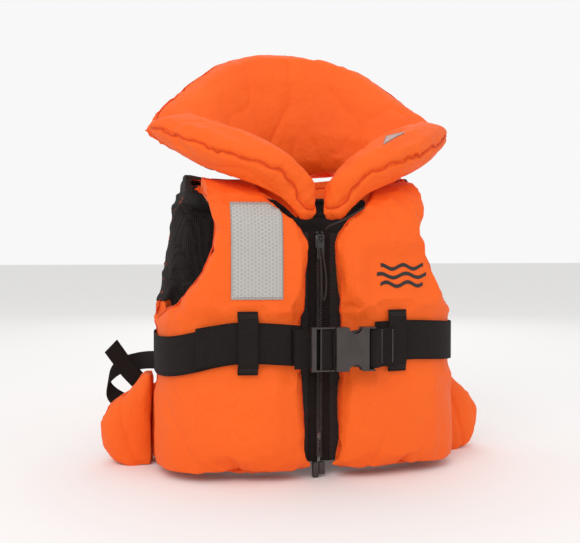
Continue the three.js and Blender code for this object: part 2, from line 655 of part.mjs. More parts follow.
// Open-end box on one tape and the pin on the other, below the coils.
const zipBox = () => {
  const y = TAPE_FRONT_Y - GAP;
  return box(-7, -1.2, y - 4, y + 3, 0, ZIP_BOTTOM - GAP);
};
const zipPin = () => {
  const y = TAPE_FRONT_Y - GAP;
  return box(-0.6, 5.5, y - 3, y + 2, 3, ZIP_BOTTOM - GAP);
};

const SLIDER_TOP = ZIP_TOP - 2.4;
const SLIDER_FRONT_Y = TAPE_FRONT_Y - 2 * GAP - 2 * COIL_RADIUS;

function zipSlider() {
  const bottom = SLIDER_TOP - SLIDER_LENGTH;
  const front = box(
    -SLIDER_HALF_WIDTH, SLIDER_HALF_WIDTH,
    SLIDER_FRONT_Y - 1.3, SLIDER_FRONT_Y, bottom, SLIDER_TOP,
  );
  const backY = TAPE_FRONT_Y + TAPE_THICKNESS + GAP;
  const back = box(-SLIDER_HALF_WIDTH, SLIDER_HALF_WIDTH, backY, backY + 1.3, bottom, SLIDER_TOP);
  const post = box(-0.9, 0.9, SLIDER_FRONT_Y - 0.5, backY + 0.5, SLIDER_TOP - 4, SLIDER_TOP);
  const bridge = box(-1.4, 1.4, SLIDER_FRONT_Y - 3.6, SLIDER_FRONT_Y - 0.5, SLIDER_TOP - 5, SLIDER_TOP - 2);
  return join(front, back, post, bridge);
}

const PULL_Y = SLIDER_FRONT_Y - 2.9;
const PULL_PIVOT_Z = SLIDER_TOP - 3.5;

function zipPull() {
  const top = PULL_PIVOT_Z + 4;
  const plate = box(-3.6, 3.6, PULL_Y - 1.2, PULL_Y + 0.7, top - PULL_LENGTH, top);
  const eye = box(-1.9, 1.9, PULL_Y - 2, PULL_Y + 1.5, PULL_PIVOT_Z - 3.4, PULL_PIVOT_Z + 2.4);
  const hole = box(-2, 2, PULL_Y - 2, PULL_Y + 1.5, top - PULL_LENGTH + 2, top - PULL_LENGTH + 7);
  return cut(plate, eye, hole);
}

// A cloth loop threaded on the pull, hanging in front of it.
function pullLoop() {
  const top = PULL_PIVOT_Z - PULL_LENGTH + 14;
  const bottom = top - PULL_LOOP_LENGTH;
  const y = PULL_Y - 2.6;
  const rail = curve(
    [0.5, y, top], [3.4, y - 0.4, mix(top, bottom, 0.3)], [5.4, y - 0.8, mix(top, bottom, 0.62)],
    [4.6, y - 0.6, mix(top, bottom, 0.88)], [2.4, y - 0.2, bottom], [0.6, y, mix(top, bottom, 0.88)],
    [0.4, y, mix(top, bottom, 0.55)], [-0.6, y, mix(top, bottom, 0.25)], [-2.2, y, top],
  );
  const section = new THREE.Shape();
  section.absellipse(0, 0, 1, 1, 0, 2 * Math.PI);
  return weld(new THREE.ExtrudeGeometry(section, { steps: 30, curveSegments: 3, extrudePath: rail }));
}

// ---------------------------------------------------------------- patches, label, cord and straps
// A thin piece on a front's outer face, between two x and two z, split where the front's rows are.
function frontPatch(side, x0, x1, z0, z1) {
  const rowV = FRONT_ROWS.map((row, i) => i / (FRONT_ROWS.length - 1));
  const [v0, v1] = [heightToV(FRONT_ROWS, z0), heightToV(FRONT_ROWS, z1)];
  const vs = [v0, ...rowV.filter((v) => v > v0 + 0.001 && v < v1 - 0.001), v1];
  return block(even(4), vs, (u, v, w) => {
    const p = torsoPoint(FRONT_ROWS, -1, side, mix(x0, x1, u), v);
    return p.add(point(0, -0.9 - w * PATCH_THICKNESS, 0));
  });
}

// The same on the upper face of the left wing.
function wingPatch(side) {
  const faces = pillow(WING_NECK, WING_OUTER, side, -1, () => point(0, -0.4, 1), COLLAR_PAD, COLLAR_ARCH, COLLAR_SAG);
  return block(even(4), even(2), (u, v, w) => {
    const share = v * 0.26;
    const p = faces.outer(0.46 + 0.24 * u - 0.08 * v, 0.42 + share);
    return p.add(point(0, -0.5, 1).normalize().multiplyScalar(1.2 + w * PATCH_THICKNESS));
  });
}

const sizeLabel = () => box(7, 18, NECK_BACK - 4.4, NECK_BACK - 3.9, SHOULDER - 10, SHOULDER + 6);

// From the top of the left tape, over the left front and up under the left wing.
function lanyard() {
  const route = curve(
    [5.6, -84.6, 250], [6, -86.6, 251.2], [6.8, -88.8, 252.3], [8, -90.8, 253.4], [9.8, -92.6, 254.5],
    [12, -94.4, 255.6], [14.8, -96.2, 256.9], [17.9, -97.8, 258.3], [21, -98.4, 259.8], [24.4, -98.9, 261.5],
    [28, -98.9, 263.6], [32, -98.7, 265.9], [36, -98.4, 268.2], [39.5, -98, 270.4], [42, -97.5, 272],
  );
  const section = new THREE.Shape();
  section.absellipse(0, 0, CORD_DIAMETER / 2, CORD_DIAMETER / 2, 0, 2 * Math.PI);
  return weld(new THREE.ExtrudeGeometry(section, { steps: 14, curveSegments: 4, extrudePath: route }));
}

// Crotch strap webbing, 20 mm wide, kept folded behind the right hip.
// A point beside the right side seam, `out` outside the torso's half width.
const outward = (out, y, z) => point(-HALF_WIDTH - out, y, z);

function crotchStrap() {
  const path = [
    outward(47, 72, 121), outward(38, 72, 108), outward(29, 71, 95), outward(19, 69, 84), outward(10, 68, 74),
    outward(-2, 72, 64), outward(-18, 79, 54),
  ];
  return ribbon(path, (t) => point(mix(0.7, 0.5, t), 0.05, mix(0.72, 0.86, t)), LOOP_WIDTH, WEBBING, 10);
}

function sideStrap() {
  const path = [
    outward(-2, 56, 106), outward(7, 72, 104), outward(20, 83, 101), outward(36, 87, 96),
    outward(48, 89, 84), outward(49, 89, 68), outward(36, 88, 56), outward(14, 86, 48), outward(-8, 84, 42),
  ];
  return ribbon(path, (t) => point(mix(0, 0.35, t), 0.25 * Math.sin(Math.PI * t), 1), LOOP_WIDTH, WEBBING, 14);
}

// ---------------------------------------------------------------- assembly
const jacket = new THREE.Group();

function add(name, geometry, finish) {
  const mesh = new THREE.Mesh(geometry, finish);
  mesh.name = name;
  jacket.add(mesh);
}

const back = backPad();
add("back_cover", back.cover, ORANGE);
add("back_foam", back.foam, FOAM);
add("back_lining", back.lining, BLACK_LINING);

const collar = collarBack();
add("collar_back_cover", collar.cover, ORANGE);
add("collar_back_foam", collar.foam, FOAM);

for (const [name, side] of [["right", -1], ["left", 1]]) {
  const front = frontPad(side);
  add(`front_${name}_cover`, front.cover, ORANGE);
  add(`front_${name}_foam`, front.foam, FOAM);
  add(`front_${name}_lining`, front.lining, BLACK_LINING);
  const wing = collarWing(side);
  add(`collar_${name}_cover`, wing.cover, ORANGE);
  add(`collar_${name}_foam`, wing.foam, FOAM);
  const hip = hipPad(side);
  add(`hip_${name}_cover`, hip.cover, ORANGE);
  add(`hip_${name}_foam`, hip.foam, FOAM);
  const stack = side < 0 ? TAIL_LIFT + WEBBING / 2 : BELT_LIFT + WEBBING / 2;
  add(`belt_loop_front_${name}`, beltLoop(-1, side * LOOP_X, stack), BLACK_WEBBING);
  add(`belt_loop_back_${name}`, beltLoop(1, side * LOOP_X, BELT_LIFT + WEBBING / 2), BLACK_WEBBING);
  add(`zip_tape_${name}`, zipTape(side), BLACK_WEBBING);
  add(`zip_coil_${name}`, zipCoil(side), BLACK_PLASTIC);
  add(`zip_top_stop_${name}`, zipStop(side), BLACK_METAL);
}

add("belt_right", beltFront(-1, 24, BELT_LIFT), BLACK_WEBBING);
add("belt_right_tail", beltFront(-1, 34, TAIL_LIFT, 0.44, 5), BLACK_WEBBING);
add("belt_left", beltFront(1, 52, BELT_LIFT), BLACK_WEBBING);
add("belt_back", beltBack(), BLACK_WEBBING);

add("buckle_female", buckleFemale(), BLACK_PLASTIC);
add("buckle_male", buckleMale(), BLACK_PLASTIC);
add("buckle_webbing", buckleWebbing(), BLACK_WEBBING);
add("prong_upper", prong(1), BLACK_PLASTIC);
add("prong_lower", prong(-1), BLACK_PLASTIC);

add("zip_box", zipBox(), BLACK_PLASTIC);
add("zip_pin", zipPin(), BLACK_PLASTIC);
add("zip_slider", zipSlider(), BLACK_METAL);
add("zip_pull", zipPull(), BLACK_METAL);
add("zip_pull_loop", pullLoop(), BLACK_WEBBING);

add("chest_patch", frontPatch(-1, 41, 92, 181, 277), REFLECTIVE);
add("chest_emblem", frontPatch(1, 54, 110, 191, 217), BLACK_PLASTIC);
add("collar_patch", wingPatch(1), REFLECTIVE);
add("size_label", sizeLabel(), WHITE_LABEL);
add("lanyard", lanyard(), BLACK_WEBBING);
add("crotch_strap", crotchStrap(), BLACK_WEBBING);
add("side_strap", sideStrap(), BLACK_WEBBING);

// The fronts are deeper than the back, so the jacket is moved to stand centred over its origin.
const whole = new THREE.Box3();
for (const { name, geometry } of jacket.children) {
  geometry.computeBoundingBox();
  if (name !== "lanyard") whole.union(geometry.boundingBox);
}
for (const { geometry } of jacket.children) geometry.translate(0, -(whole.min.y + whole.max.y) / 2, 0);

export default jacket;
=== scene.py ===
"""Looks of a child's foam life jacket: padded covers, webbing, buckle, zip, patches and lanyard.

Metres, +Z up. The fronts face -Y and +X is the wearer's left.
"""

import logging
import math
from dataclasses import dataclass
from enum import Enum
from typing import Any, Callable, Sequence

import bmesh
import bpy
import numpy as np
from mathutils import Matrix, Vector, noise
from mathutils.bvhtree import BVHTree
from mathutils.kdtree import KDTree


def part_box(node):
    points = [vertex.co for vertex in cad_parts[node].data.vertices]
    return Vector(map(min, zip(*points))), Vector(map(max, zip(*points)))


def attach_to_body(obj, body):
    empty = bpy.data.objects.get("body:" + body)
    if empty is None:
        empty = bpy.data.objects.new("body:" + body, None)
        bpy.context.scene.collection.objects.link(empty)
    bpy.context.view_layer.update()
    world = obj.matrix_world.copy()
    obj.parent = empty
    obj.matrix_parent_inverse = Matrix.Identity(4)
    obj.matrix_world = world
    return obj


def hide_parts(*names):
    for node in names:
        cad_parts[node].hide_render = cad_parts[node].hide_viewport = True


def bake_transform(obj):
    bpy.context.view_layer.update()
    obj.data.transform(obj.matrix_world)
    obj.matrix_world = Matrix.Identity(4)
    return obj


log = logging.getLogger("life_jacket")
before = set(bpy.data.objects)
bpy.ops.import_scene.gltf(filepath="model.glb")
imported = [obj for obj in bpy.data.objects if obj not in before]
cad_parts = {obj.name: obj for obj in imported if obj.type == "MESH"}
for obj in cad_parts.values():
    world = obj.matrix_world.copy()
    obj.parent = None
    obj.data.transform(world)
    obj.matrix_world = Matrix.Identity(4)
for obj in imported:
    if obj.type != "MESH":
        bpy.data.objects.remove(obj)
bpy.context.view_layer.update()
NODES: dict[str, bpy.types.Object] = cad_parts
MM = 0.001
UP = Vector((0, 0, 1))
LEFTWARDS = Vector((1, 0, 0))


class Side(Enum):
    """The wearer's side that a piece is on, with the sign of its x."""

    RIGHT = -1
    LEFT = 1

    @property
    def word(self) -> str:
        """The side's name as it stands in node names."""
        return self.name.lower()

    @property
    def front(self) -> str:
        """The body of the front on this side."""
        return f"front_{self.word}"


# ---------------------------------------------------------------- material helpers
def linear(hex_colour: str) -> tuple[float, float, float, float]:
    """Turns an sRGB hex colour into linear RGBA.

    Args:
        hex_colour: six hex digits, without a hash.

    Returns:
        Linear red, green, blue and an alpha of 1.
    """
    channels = [int(hex_colour[i : i + 2], 16) / 255 for i in (0, 2, 4)]
    red, green, blue = (c / 12.92 if c <= 0.04045 else ((c + 0.055) / 1.055) ** 2.4 for c in channels)
    return red, green, blue, 1.0


def add_node(tree: bpy.types.NodeTree, kind: str, settings: dict[str, Any] | None = None,
             **inputs: Any) -> bpy.types.Node:
    """Adds a shader node with its settings and links.

    Args:
        tree: the material's node tree.
        kind: the node's type, without "ShaderNode".
        settings: properties set on the node itself.
        inputs: values or sockets by input name, with _ for a space, or i0, i1 ... for an input's place.

    Returns:
        The new node.
    """
    node = tree.nodes.new("ShaderNode" + kind)
    for key, value in (settings or {}).items():
        setattr(node, key, value)
    for key, value in inputs.items():
        place = int(key[1:]) if key[0] == "i" and key[1:].isdigit() else key.replace("_", " ")
        socket = node.inputs[place]
        if isinstance(value, bpy.types.NodeSocket):
            tree.links.new(value, socket)
        else:
            socket.default_value = value
    return node


def ripple(tree: bpy.types.NodeTree, along: bpy.types.NodeSocket, period: float) -> bpy.types.NodeSocket:
    """A sine of unit height along a length in metres.

    Args:
        tree: the material's node tree.
        along: the length.
        period: one wave, in metres.

    Returns:
        The sine's socket.
    """
    turns = add_node(tree, "Math", {"operation": "MULTIPLY"}, i0=along, i1=2 * math.pi / period)
    return add_node(tree, "Math", {"operation": "SINE"}, i0=turns.outputs[0]).outputs[0]


def combine(tree: bpy.types.NodeTree, operation: str, first: Any, second: Any) -> bpy.types.NodeSocket:
    """The result of one arithmetic step between two values or sockets."""
    return add_node(tree, "Math", {"operation": operation}, i0=first, i1=second).outputs[0]


def object_point(tree: bpy.types.NodeTree) -> bpy.types.NodeSocket:
    """Where a shaded point is on its piece, in metres."""
    return add_node(tree, "TexCoord").outputs["Object"]


def noise_at(tree: bpy.types.NodeTree, size: float, detail: float = 3.0) -> bpy.types.NodeSocket:
    """Soft random variation, 0 to 1.

    Args:
        tree: the material's node tree.
        size: how far apart its patches are, in metres.
        detail: how many finer layers it has.

    Returns:
        The variation's socket.
    """
    node = add_node(tree, "TexNoise", Vector=object_point(tree), Scale=1 / size, Detail=detail)
    return node.outputs["Fac"]


def blend_colours(tree: bpy.types.NodeTree, share: Any, first: Any, second: Any) -> bpy.types.NodeSocket:
    """A mix of two colours or colour sockets by a share of 0 to 1."""
    node = add_node(tree, "Mix", {"data_type": "RGBA"}, i0=share, i6=first, i7=second)
    return node.outputs[2]


def bumped(tree: bpy.types.NodeTree, height: bpy.types.NodeSocket, depth: float,
           under: bpy.types.NodeSocket | None = None) -> bpy.types.NodeSocket:
    """Relief of a given depth.

    Args:
        tree: the material's node tree.
        height: the relief, about 0 to 1.
        depth: what 1 stands for, in metres.
        under: a coarser relief's normal that this one lies on.

    Returns:
        The normal's socket.
    """
    node = add_node(tree, "Bump", Strength=1.0, Distance=depth, Height=height)
    if under is not None:
        tree.links.new(under, node.inputs["Normal"])
    return node.outputs[0]


@dataclass(frozen=True)
class Finish:
    """A surface and how it was made. Subclasses draw it."""

    name: str
    slot: str
    colour: str
    roughness: float

    def draw(self, tree: bpy.types.NodeTree, shader: bpy.types.Node) -> None:
        """Adds the pattern to the shader. The plain finish has none."""

    def material(self) -> bpy.types.Material:
        """The material, made once."""
        known = bpy.data.materials.get(self.name)
        if known:
            return known
        made = bpy.data.materials.new(self.name)
        made.use_nodes = True
        made.diffuse_color = linear(self.colour)
        shader = made.node_tree.nodes["Principled BSDF"]
        shader.inputs["Base Color"].default_value = linear(self.colour)
        shader.inputs["Roughness"].default_value = self.roughness
        self.draw(made.node_tree, shader)
        return made


@dataclass(frozen=True)
class OxfordCloth(Finish):
    """Woven polyester with a coated back: a fine square weave, a soft sheen and small handling creases."""

    shade: str
    thread: float = 1.1 * MM  # real threads lie 0.5 mm apart, too fine to show, so it is drawn coarser
    crease: float = 13 * MM

    def draw(self, tree: bpy.types.NodeTree, shader: bpy.types.Node) -> None:
        """Weave, creases and a slow change of colour.

        Args:
            tree: the material's node tree.
            shader: its Principled BSDF.
        """
        axes = add_node(tree, "SeparateXYZ", Vector=object_point(tree)).outputs
        waves = [ripple(tree, axis, self.thread) for axis in axes]
        weave = combine(tree, "ADD", combine(tree, "ADD", waves[0], waves[1]), waves[2])
        slow = noise_at(tree, 60 * MM)
        fine = noise_at(tree, 2.5 * MM, 2.0)
        broad = combine(tree, "MULTIPLY", slow, 0.75)
        tone = combine(tree, "ADD", broad, combine(tree, "MULTIPLY", fine, 0.25))
        cloth = blend_colours(tree, tone, linear(self.shade), linear(self.colour))
        tree.links.new(cloth, shader.inputs["Base Color"])
        gloss = add_node(tree, "MapRange", Value=slow, i3=self.roughness - 0.08, i4=self.roughness + 0.08)
        tree.links.new(gloss.outputs[0], shader.inputs["Roughness"])
        creases = bumped(tree, noise_at(tree, self.crease, 2.0), 2.0 * MM)
        tree.links.new(bumped(tree, weave, 0.035 * MM, creases), shader.inputs["Normal"])
        shader.inputs["Specular IOR Level"].default_value = 0.3
        shader.inputs["Sheen Weight"].default_value = 0.02


@dataclass(frozen=True)
class Webbing(Finish):
    """Woven strap: ribs across it and a denser selvage at each edge, on the strap's own map in metres."""

    width: float
    rib: float = 1.7 * MM
    edge: float = 2.2 * MM

    def draw(self, tree: bpy.types.NodeTree, shader: bpy.types.Node) -> None:
        """Ribs, cross threads and selvages.

        Args:
            tree: the material's node tree.
            shader: its Principled BSDF.
        """
        place = add_node(tree, "UVMap", {"uv_map": "strap"}).outputs[0]
        axes = add_node(tree, "SeparateXYZ", Vector=place).outputs
        ribs = ripple(tree, axes[0], self.rib)
        wander = combine(tree, "MULTIPLY", ribs, 0.2 * MM)
        threads = ripple(tree, combine(tree, "ADD", axes[1], wander), self.rib)
        middle = combine(tree, "ABSOLUTE", axes[1], 0.0)
        selvage = combine(tree, "GREATER_THAN", middle, self.width / 2 - self.edge)
        field = combine(tree, "ADD", ribs, combine(tree, "MULTIPLY", threads, 0.6))
        border = combine(tree, "MULTIPLY", ripple(tree, middle, self.edge / 2), 1.2)
        relief = add_node(tree, "Mix", i0=selvage, i2=field, i3=border).outputs[0]
        # Colour follows the weave's relief: lighter on the raised ribs and selvage ridges, darker in the grooves,
        # in soft patches.
        relief_lightness = combine(tree, "MULTIPLY", combine(tree, "ADD", relief, 1.6), 0.3)
        dark, light = linear(self.colour), linear("29211e")
        tone = combine(tree, "MULTIPLY", relief_lightness, noise_at(tree, 9 * MM))
        tree.links.new(blend_colours(tree, tone, dark, light), shader.inputs["Base Color"])
        tree.links.new(bumped(tree, relief, 0.22 * MM), shader.inputs["Normal"])
        shader.inputs["Specular IOR Level"].default_value = 0.22


@dataclass(frozen=True)
class LiningCloth(Finish):
    """Black mesh-backed nylon: a matt grid of small open cells."""

    cell: float = 2.4 * MM

    def draw(self, tree: bpy.types.NodeTree, shader: bpy.types.Node) -> None:
        """Open cells and soft folds.

        Args:
            tree: the material's node tree.
            shader: its Principled BSDF.
        """
        axes = add_node(tree, "SeparateXYZ", Vector=object_point(tree)).outputs
        waves = [ripple(tree, axis, self.cell) for axis in axes]
        holes = combine(tree, "ADD", combine(tree, "ADD", waves[0], waves[1]), waves[2])
        share = add_node(tree, "MapRange", Value=holes, i1=-1.4, i2=1.4).outputs[0]
        colour = blend_colours(tree, share, linear("0f0c0c"), linear(self.colour))
        tree.links.new(colour, shader.inputs["Base Color"])
        folds = bumped(tree, noise_at(tree, 18 * MM, 2.0), 1.2 * MM)
        tree.links.new(bumped(tree, holes, 0.15 * MM, folds), shader.inputs["Normal"])


@dataclass(frozen=True)
class MouldedAcetal(Finish):
    """Injection-moulded acetal: satin, with a fine spark-eroded grain that polishes where hands rub it."""

    grain: float = 0.7 * MM

    def draw(self, tree: bpy.types.NodeTree, shader: bpy.types.Node) -> None:
        """Grain and rubbed patches.

        Args:
            tree: the material's node tree.
            shader: its Principled BSDF.
        """
        rubbed = noise_at(tree, 12 * MM, 4.0)
        gloss = add_node(tree, "MapRange", Value=rubbed, i3=self.roughness - 0.1, i4=self.roughness + 0.12)
        tree.links.new(gloss.outputs[0], shader.inputs["Roughness"])
        colour = blend_colours(tree, rubbed, linear(self.colour), linear("453d3b"))
        tree.links.new(colour, shader.inputs["Base Color"])
        tree.links.new(bumped(tree, noise_at(tree, self.grain, 1.0), 0.04 * MM), shader.inputs["Normal"])
        shader.inputs["IOR"].default_value = 1.48


@dataclass(frozen=True)
class EnamelledZinc(Finish):
    """Black enamel over die-cast zinc, thin at its edges, where grey shows through."""

    def draw(self, tree: bpy.types.NodeTree, shader: bpy.types.Node) -> None:
        """Small chips in the enamel.

        Args:
            tree: the material's node tree.
            shader: its Principled BSDF.
        """
        chips = add_node(tree, "MapRange", Value=noise_at(tree, 1.6 * MM, 5.0), i1=0.6, i2=0.72).outputs[0]
        colour = blend_colours(tree, chips, linear(self.colour), linear("6d6863"))
        tree.links.new(colour, shader.inputs["Base Color"])
        tree.links.new(combine(tree, "MULTIPLY", chips, 0.8), shader.inputs["Metallic"])
        tree.links.new(bumped(tree, chips, -0.05 * MM), shader.inputs["Normal"])
        shader.inputs["Coat Weight"].default_value = 0.25


@dataclass(frozen=True)
class RetroreflectiveTape(Finish):
    """Silver-grey tape of sealed hexagonal cells with pale walls."""

    wall: str = "c9c6c1"
    pitch: float = 3.9 * MM

    def draw(self, tree: bpy.types.NodeTree, shader: bpy.types.Node) -> None:
        """Three sets of ripples 60 degrees apart, whose crests make a honeycomb.

        Args:
            tree: the material's node tree.
            shader: its Principled BSDF.
        """
        place = add_node(tree, "UVMap", {"uv_map": "strap"}).outputs[0]
        total: Any = 0.0
        for turn in (0, 60, 120):
            angle = math.radians(turn)
            across = (math.cos(angle), math.sin(angle), 0)
            along = add_node(tree, "VectorMath", {"operation": "DOT_PRODUCT"}, i0=place, i1=across).outputs["Value"]
            shifted = combine(tree, "ADD", along, self.pitch * 0.2165)
            total = combine(tree, "ADD", total, ripple(tree, shifted, self.pitch * math.sqrt(3) / 2))
        cells = add_node(tree, "MapRange", Value=total, i1=-1.3, i2=-0.7).outputs[0]
        dust = noise_at(tree, 5 * MM)
        grey = blend_colours(tree, dust, linear(self.colour), linear("a29f9a"))
        tree.links.new(blend_colours(tree, cells, linear(self.wall), grey), shader.inputs["Base Color"])
        tree.links.new(bumped(tree, cells, -0.12 * MM), shader.inputs["Normal"])
        shader.inputs["Coat Weight"].default_value = 0.15
        shader.inputs["Coat Roughness"].default_value = 0.2


@dataclass(frozen=True)
class PrintedRubber(Finish):
    """A raised transfer print, smooth with a slight orange-peel."""

    def draw(self, tree: bpy.types.NodeTree, shader: bpy.types.Node) -> None:
        """Orange-peel.

        Args:
            tree: the material's node tree.
            shader: its Principled BSDF.
        """
        tree.links.new(bumped(tree, noise_at(tree, 2 * MM), 0.08 * MM), shader.inputs["Normal"])


@dataclass(frozen=True)
class SatinRibbon(Finish):
    """A woven label: fine ribs along it and a slight yellowing."""

    def draw(self, tree: bpy.types.NodeTree, shader: bpy.types.Node) -> None:
        """Ribs and colour.

        Args:
            tree: the material's node tree.
            shader: its Principled BSDF.
        """
        axes = add_node(tree, "SeparateXYZ", Vector=object_point(tree)).outputs
        ribs = ripple(tree, axes[2], 0.8 * MM)
        colour = blend_colours(tree, noise_at(tree, 6 * MM), linear(self.colour), linear("e2ddcf"))
        tree.links.new(colour, shader.inputs["Base Color"])
        tree.links.new(bumped(tree, ribs, 0.05 * MM), shader.inputs["Normal"])
        shader.inputs["Sheen Weight"].default_value = 0.3


@dataclass(frozen=True)
class BraidedCord(Finish):
    """Round braid: two sets of strands that cross at a slant."""

    strand: float = 1.3 * MM

    def draw(self, tree: bpy.types.NodeTree, shader: bpy.types.Node) -> None:
        """Crossing strands.

        Args:
            tree: the material's node tree.
            shader: its Principled BSDF.
        """
        axes = add_node(tree, "SeparateXYZ", Vector=object_point(tree)).outputs
        rising = ripple(tree, combine(tree, "ADD", axes[0], axes[2]), self.strand)
        falling = ripple(tree, combine(tree, "SUBTRACT", axes[0], axes[2]), self.strand)
        braid = combine(tree, "MAXIMUM", rising, falling)
        share = combine(tree, "MULTIPLY", braid, 0.5)
        colour = blend_colours(tree, share, linear(self.colour), linear("4a4340"))
        tree.links.new(colour, shader.inputs["Base Color"])
        tree.links.new(bumped(tree, braid, 0.15 * MM), shader.inputs["Normal"])


@dataclass(frozen=True)
class StudioFloor(Finish):
    """Matt painted board with a faint roller texture."""

    def draw(self, tree: bpy.types.NodeTree, shader: bpy.types.Node) -> None:
        """Roller texture.

        Args:
            tree: the material's node tree.
            shader: its Principled BSDF.
        """
        tree.links.new(bumped(tree, noise_at(tree, 4 * MM), 0.05 * MM), shader.inputs["Normal"])


ORANGE = OxfordCloth("orange_oxford_cloth", "cover", "ff6d18", 0.66, "f65c10")
THREAD = OxfordCloth("orange_polyester_thread", "cover", "f2540f", 0.7, "d0400a", crease=3 * MM)
LINING = LiningCloth("black_nylon_lining", "lining", "2b2522", 0.85)
BELT_WEB = Webbing("black_belt_webbing", "webbing", "150f0d", 0.75, 40 * MM)
LOOP_WEB = Webbing("black_loop_webbing", "webbing", "17110f", 0.75, 20 * MM)
BLACK_THREAD = PrintedRubber("black_bar_tack_thread", "webbing", "3a3230", 0.6)
PALE_THREAD = PrintedRubber("grey_bar_tack_thread", "webbing", "857d77", 0.6)
ZIP_TAPE = Webbing("black_zip_tape", "zip_tape", "1f1918", 0.8, 19 * MM, 1.2 * MM, 1.2 * MM)
COIL = MouldedAcetal("black_nylon_coil", "zip_plastic", "1f1a19", 0.4)
ZINC = EnamelledZinc("black_enamelled_zinc", "zip_metal", "211d1c", 0.32)
ACETAL = MouldedAcetal("black_moulded_acetal", "buckle_plastic", "2c2624", 0.38)
TAPE = RetroreflectiveTape("silver_hexagon_tape", "reflective_tape", "b2afab", 0.45)
PRINT = PrintedRubber("black_transfer_print", "emblem_print", "1b1716", 0.4)
LABEL = SatinRibbon("white_satin_label", "label", "f4f2ec", 0.6)
BRAID = BraidedCord("black_braided_cord", "cord", "1c1817", 0.7)
PLAIN_FLOOR = StudioFloor("pale_studio_board", "", "fbfaf9", 0.95)


# ---------------------------------------------------------------- mesh helpers
def finished(name: str, bm: bmesh.types.BMesh, finish: Finish, smooth: bool = True) -> bpy.types.Object:
    """Turns a bmesh into an object with its finish.

    Args:
        name: the new piece's name.
        bm: its mesh, in metres. It is freed.
        finish: what it is made of.
        smooth: whether its faces are shaded smooth.

    Returns:
        The new object, at the origin.
    """
    mesh = bpy.data.meshes.new(name)
    bm.to_mesh(mesh)
    bm.free()
    mesh.polygons.foreach_set("use_smooth", [smooth] * len(mesh.polygons))
    piece = bpy.data.objects.new(name, mesh)
    bpy.context.scene.collection.objects.link(piece)
    mesh.materials.append(finish.material())
    return piece


def cad_mesh(*nodes: str) -> bmesh.types.BMesh:
    """A merged copy of some CAD nodes.

    Args:
        nodes: their names.

    Returns:
        One bmesh, with shared corners.
    """
    bm = bmesh.new()
    for name in nodes:
        bm.from_mesh(NODES[name].data)
    bmesh.ops.remove_doubles(bm, verts=bm.verts, dist=0.01 * MM)
    return bm


def relax(bm: bmesh.types.BMesh, verts: Sequence[bmesh.types.BMVert], factor: float) -> None:
    """Moves points part of the way to their neighbours' middle."""
    bmesh.ops.smooth_vert(bm, verts=verts, factor=factor, use_axis_x=True, use_axis_y=True, use_axis_z=True)


def upright(x: float, y: float, low: float, high: float, steps: int) -> list[Vector]:
    """Evenly spaced points from one height to another."""
    return [Vector((x, y, low + (high - low) * i / steps)) for i in range(steps + 1)]


def tree_of(*nodes: str) -> BVHTree:
    """A search tree over some CAD nodes."""
    bm = cad_mesh(*nodes)
    tree = BVHTree.FromBMesh(bm)
    bm.free()
    return tree


def smooth_step(value: float, low: float, high: float) -> float:
    """0 below low, 1 above high and smooth between them."""
    share = min(1.0, max(0.0, (value - low) / (high - low)))
    return share * share * (3 - 2 * share)


def smooth_path(points: Sequence[Vector], spacing: float) -> list[Vector]:
    """A smooth line through given points.

    Args:
        points: the points it passes.
        spacing: about how far apart the points returned are, in metres.

    Returns:
        Points along a Catmull-Rom curve.
    """
    points = [Vector(p) for p in points]
    padded = [2 * points[0] - points[1], *points, 2 * points[-1] - points[-2]]
    line = []
    for a, b, c, d in zip(padded, padded[1:], padded[2:], padded[3:]):
        count = max(1, round((c - b).length / spacing))
        for i in range(count):
            t = i / count
            line.append(0.5 * (2 * b + (c - a) * t + (2 * a - 5 * b + 4 * c - d) * t**2
                               + (3 * b - a - 3 * c + d) * t**3))
    return [*line, points[-1]]


def apply_modifiers(piece: bpy.types.Object) -> None:
    """Makes a piece's modified shape its own mesh."""
    graph = bpy.context.evaluated_depsgraph_get()
    mesh = bpy.data.meshes.new_from_object(piece.evaluated_get(graph))
    piece.modifiers.clear()
    old = piece.data
    piece.data = mesh
    bpy.data.meshes.remove(old)


def ribbon(name: str, rail: Sequence[Vector], across: Callable[[float], Vector], width: float,
           thickness: float, finish: Finish) -> bpy.types.Object:
    """A strap with rounded edges and its own map, in metres along and across it.

    Args:
        name: the piece's name.
        rail: its centre line.
        across: the direction of its width, by the share of its length.
        width: in metres.
        thickness: in metres.
        finish: what it is made of.

    Returns:
        The strap.
    """
    lanes = [-0.5, -0.44, -0.2, 0.0, 0.2, 0.44, 0.5]
    bm = bmesh.new()
    layer = bm.loops.layers.uv.new("strap")
    placed: dict[bmesh.types.BMVert, tuple[float, float]] = {}
    walked = 0.0
    row: list[bmesh.types.BMVert] = []
    edges: list[bmesh.types.BMEdge] = []
    for i, centre in enumerate(rail):
        wide = across(i / (len(rail) - 1)).normalized()
        if i == 0:
            row = [bm.verts.new(centre) for _ in lanes]
            edges = [bm.edges.new(pair) for pair in zip(row, row[1:])]
        else:
            walked += (centre - rail[i - 1]).length
            made = bmesh.ops.extrude_edge_only(bm, edges=edges)["geom"]
            edges = [e for e in made if isinstance(e, bmesh.types.BMEdge)
                     and all(v not in placed for v in e.verts)]
            pairs = {v: e.other_vert(v) for v in row for e in v.link_edges if e.other_vert(v) not in placed}
            row = [pairs[v] for v in row]
        for vert, lane in zip(row, lanes):
            vert.co = centre + wide * (lane * width)
            placed[vert] = (walked, lane * width)
    for face in bm.faces:
        for loop in face.loops:
            loop[layer].uv = placed[loop.vert]
    bmesh.ops.recalc_face_normals(bm, faces=bm.faces)
    piece = finished(name, bm, finish)
    solidify = piece.modifiers.new("thickness", "SOLIDIFY")
    solidify.thickness = thickness
    solidify.offset = 0
    bevel = piece.modifiers.new("edge", "BEVEL")
    bevel.width = thickness * 0.3
    bevel.segments = 2
    bevel.limit_method = "ANGLE"
    apply_modifiers(piece)
    return piece


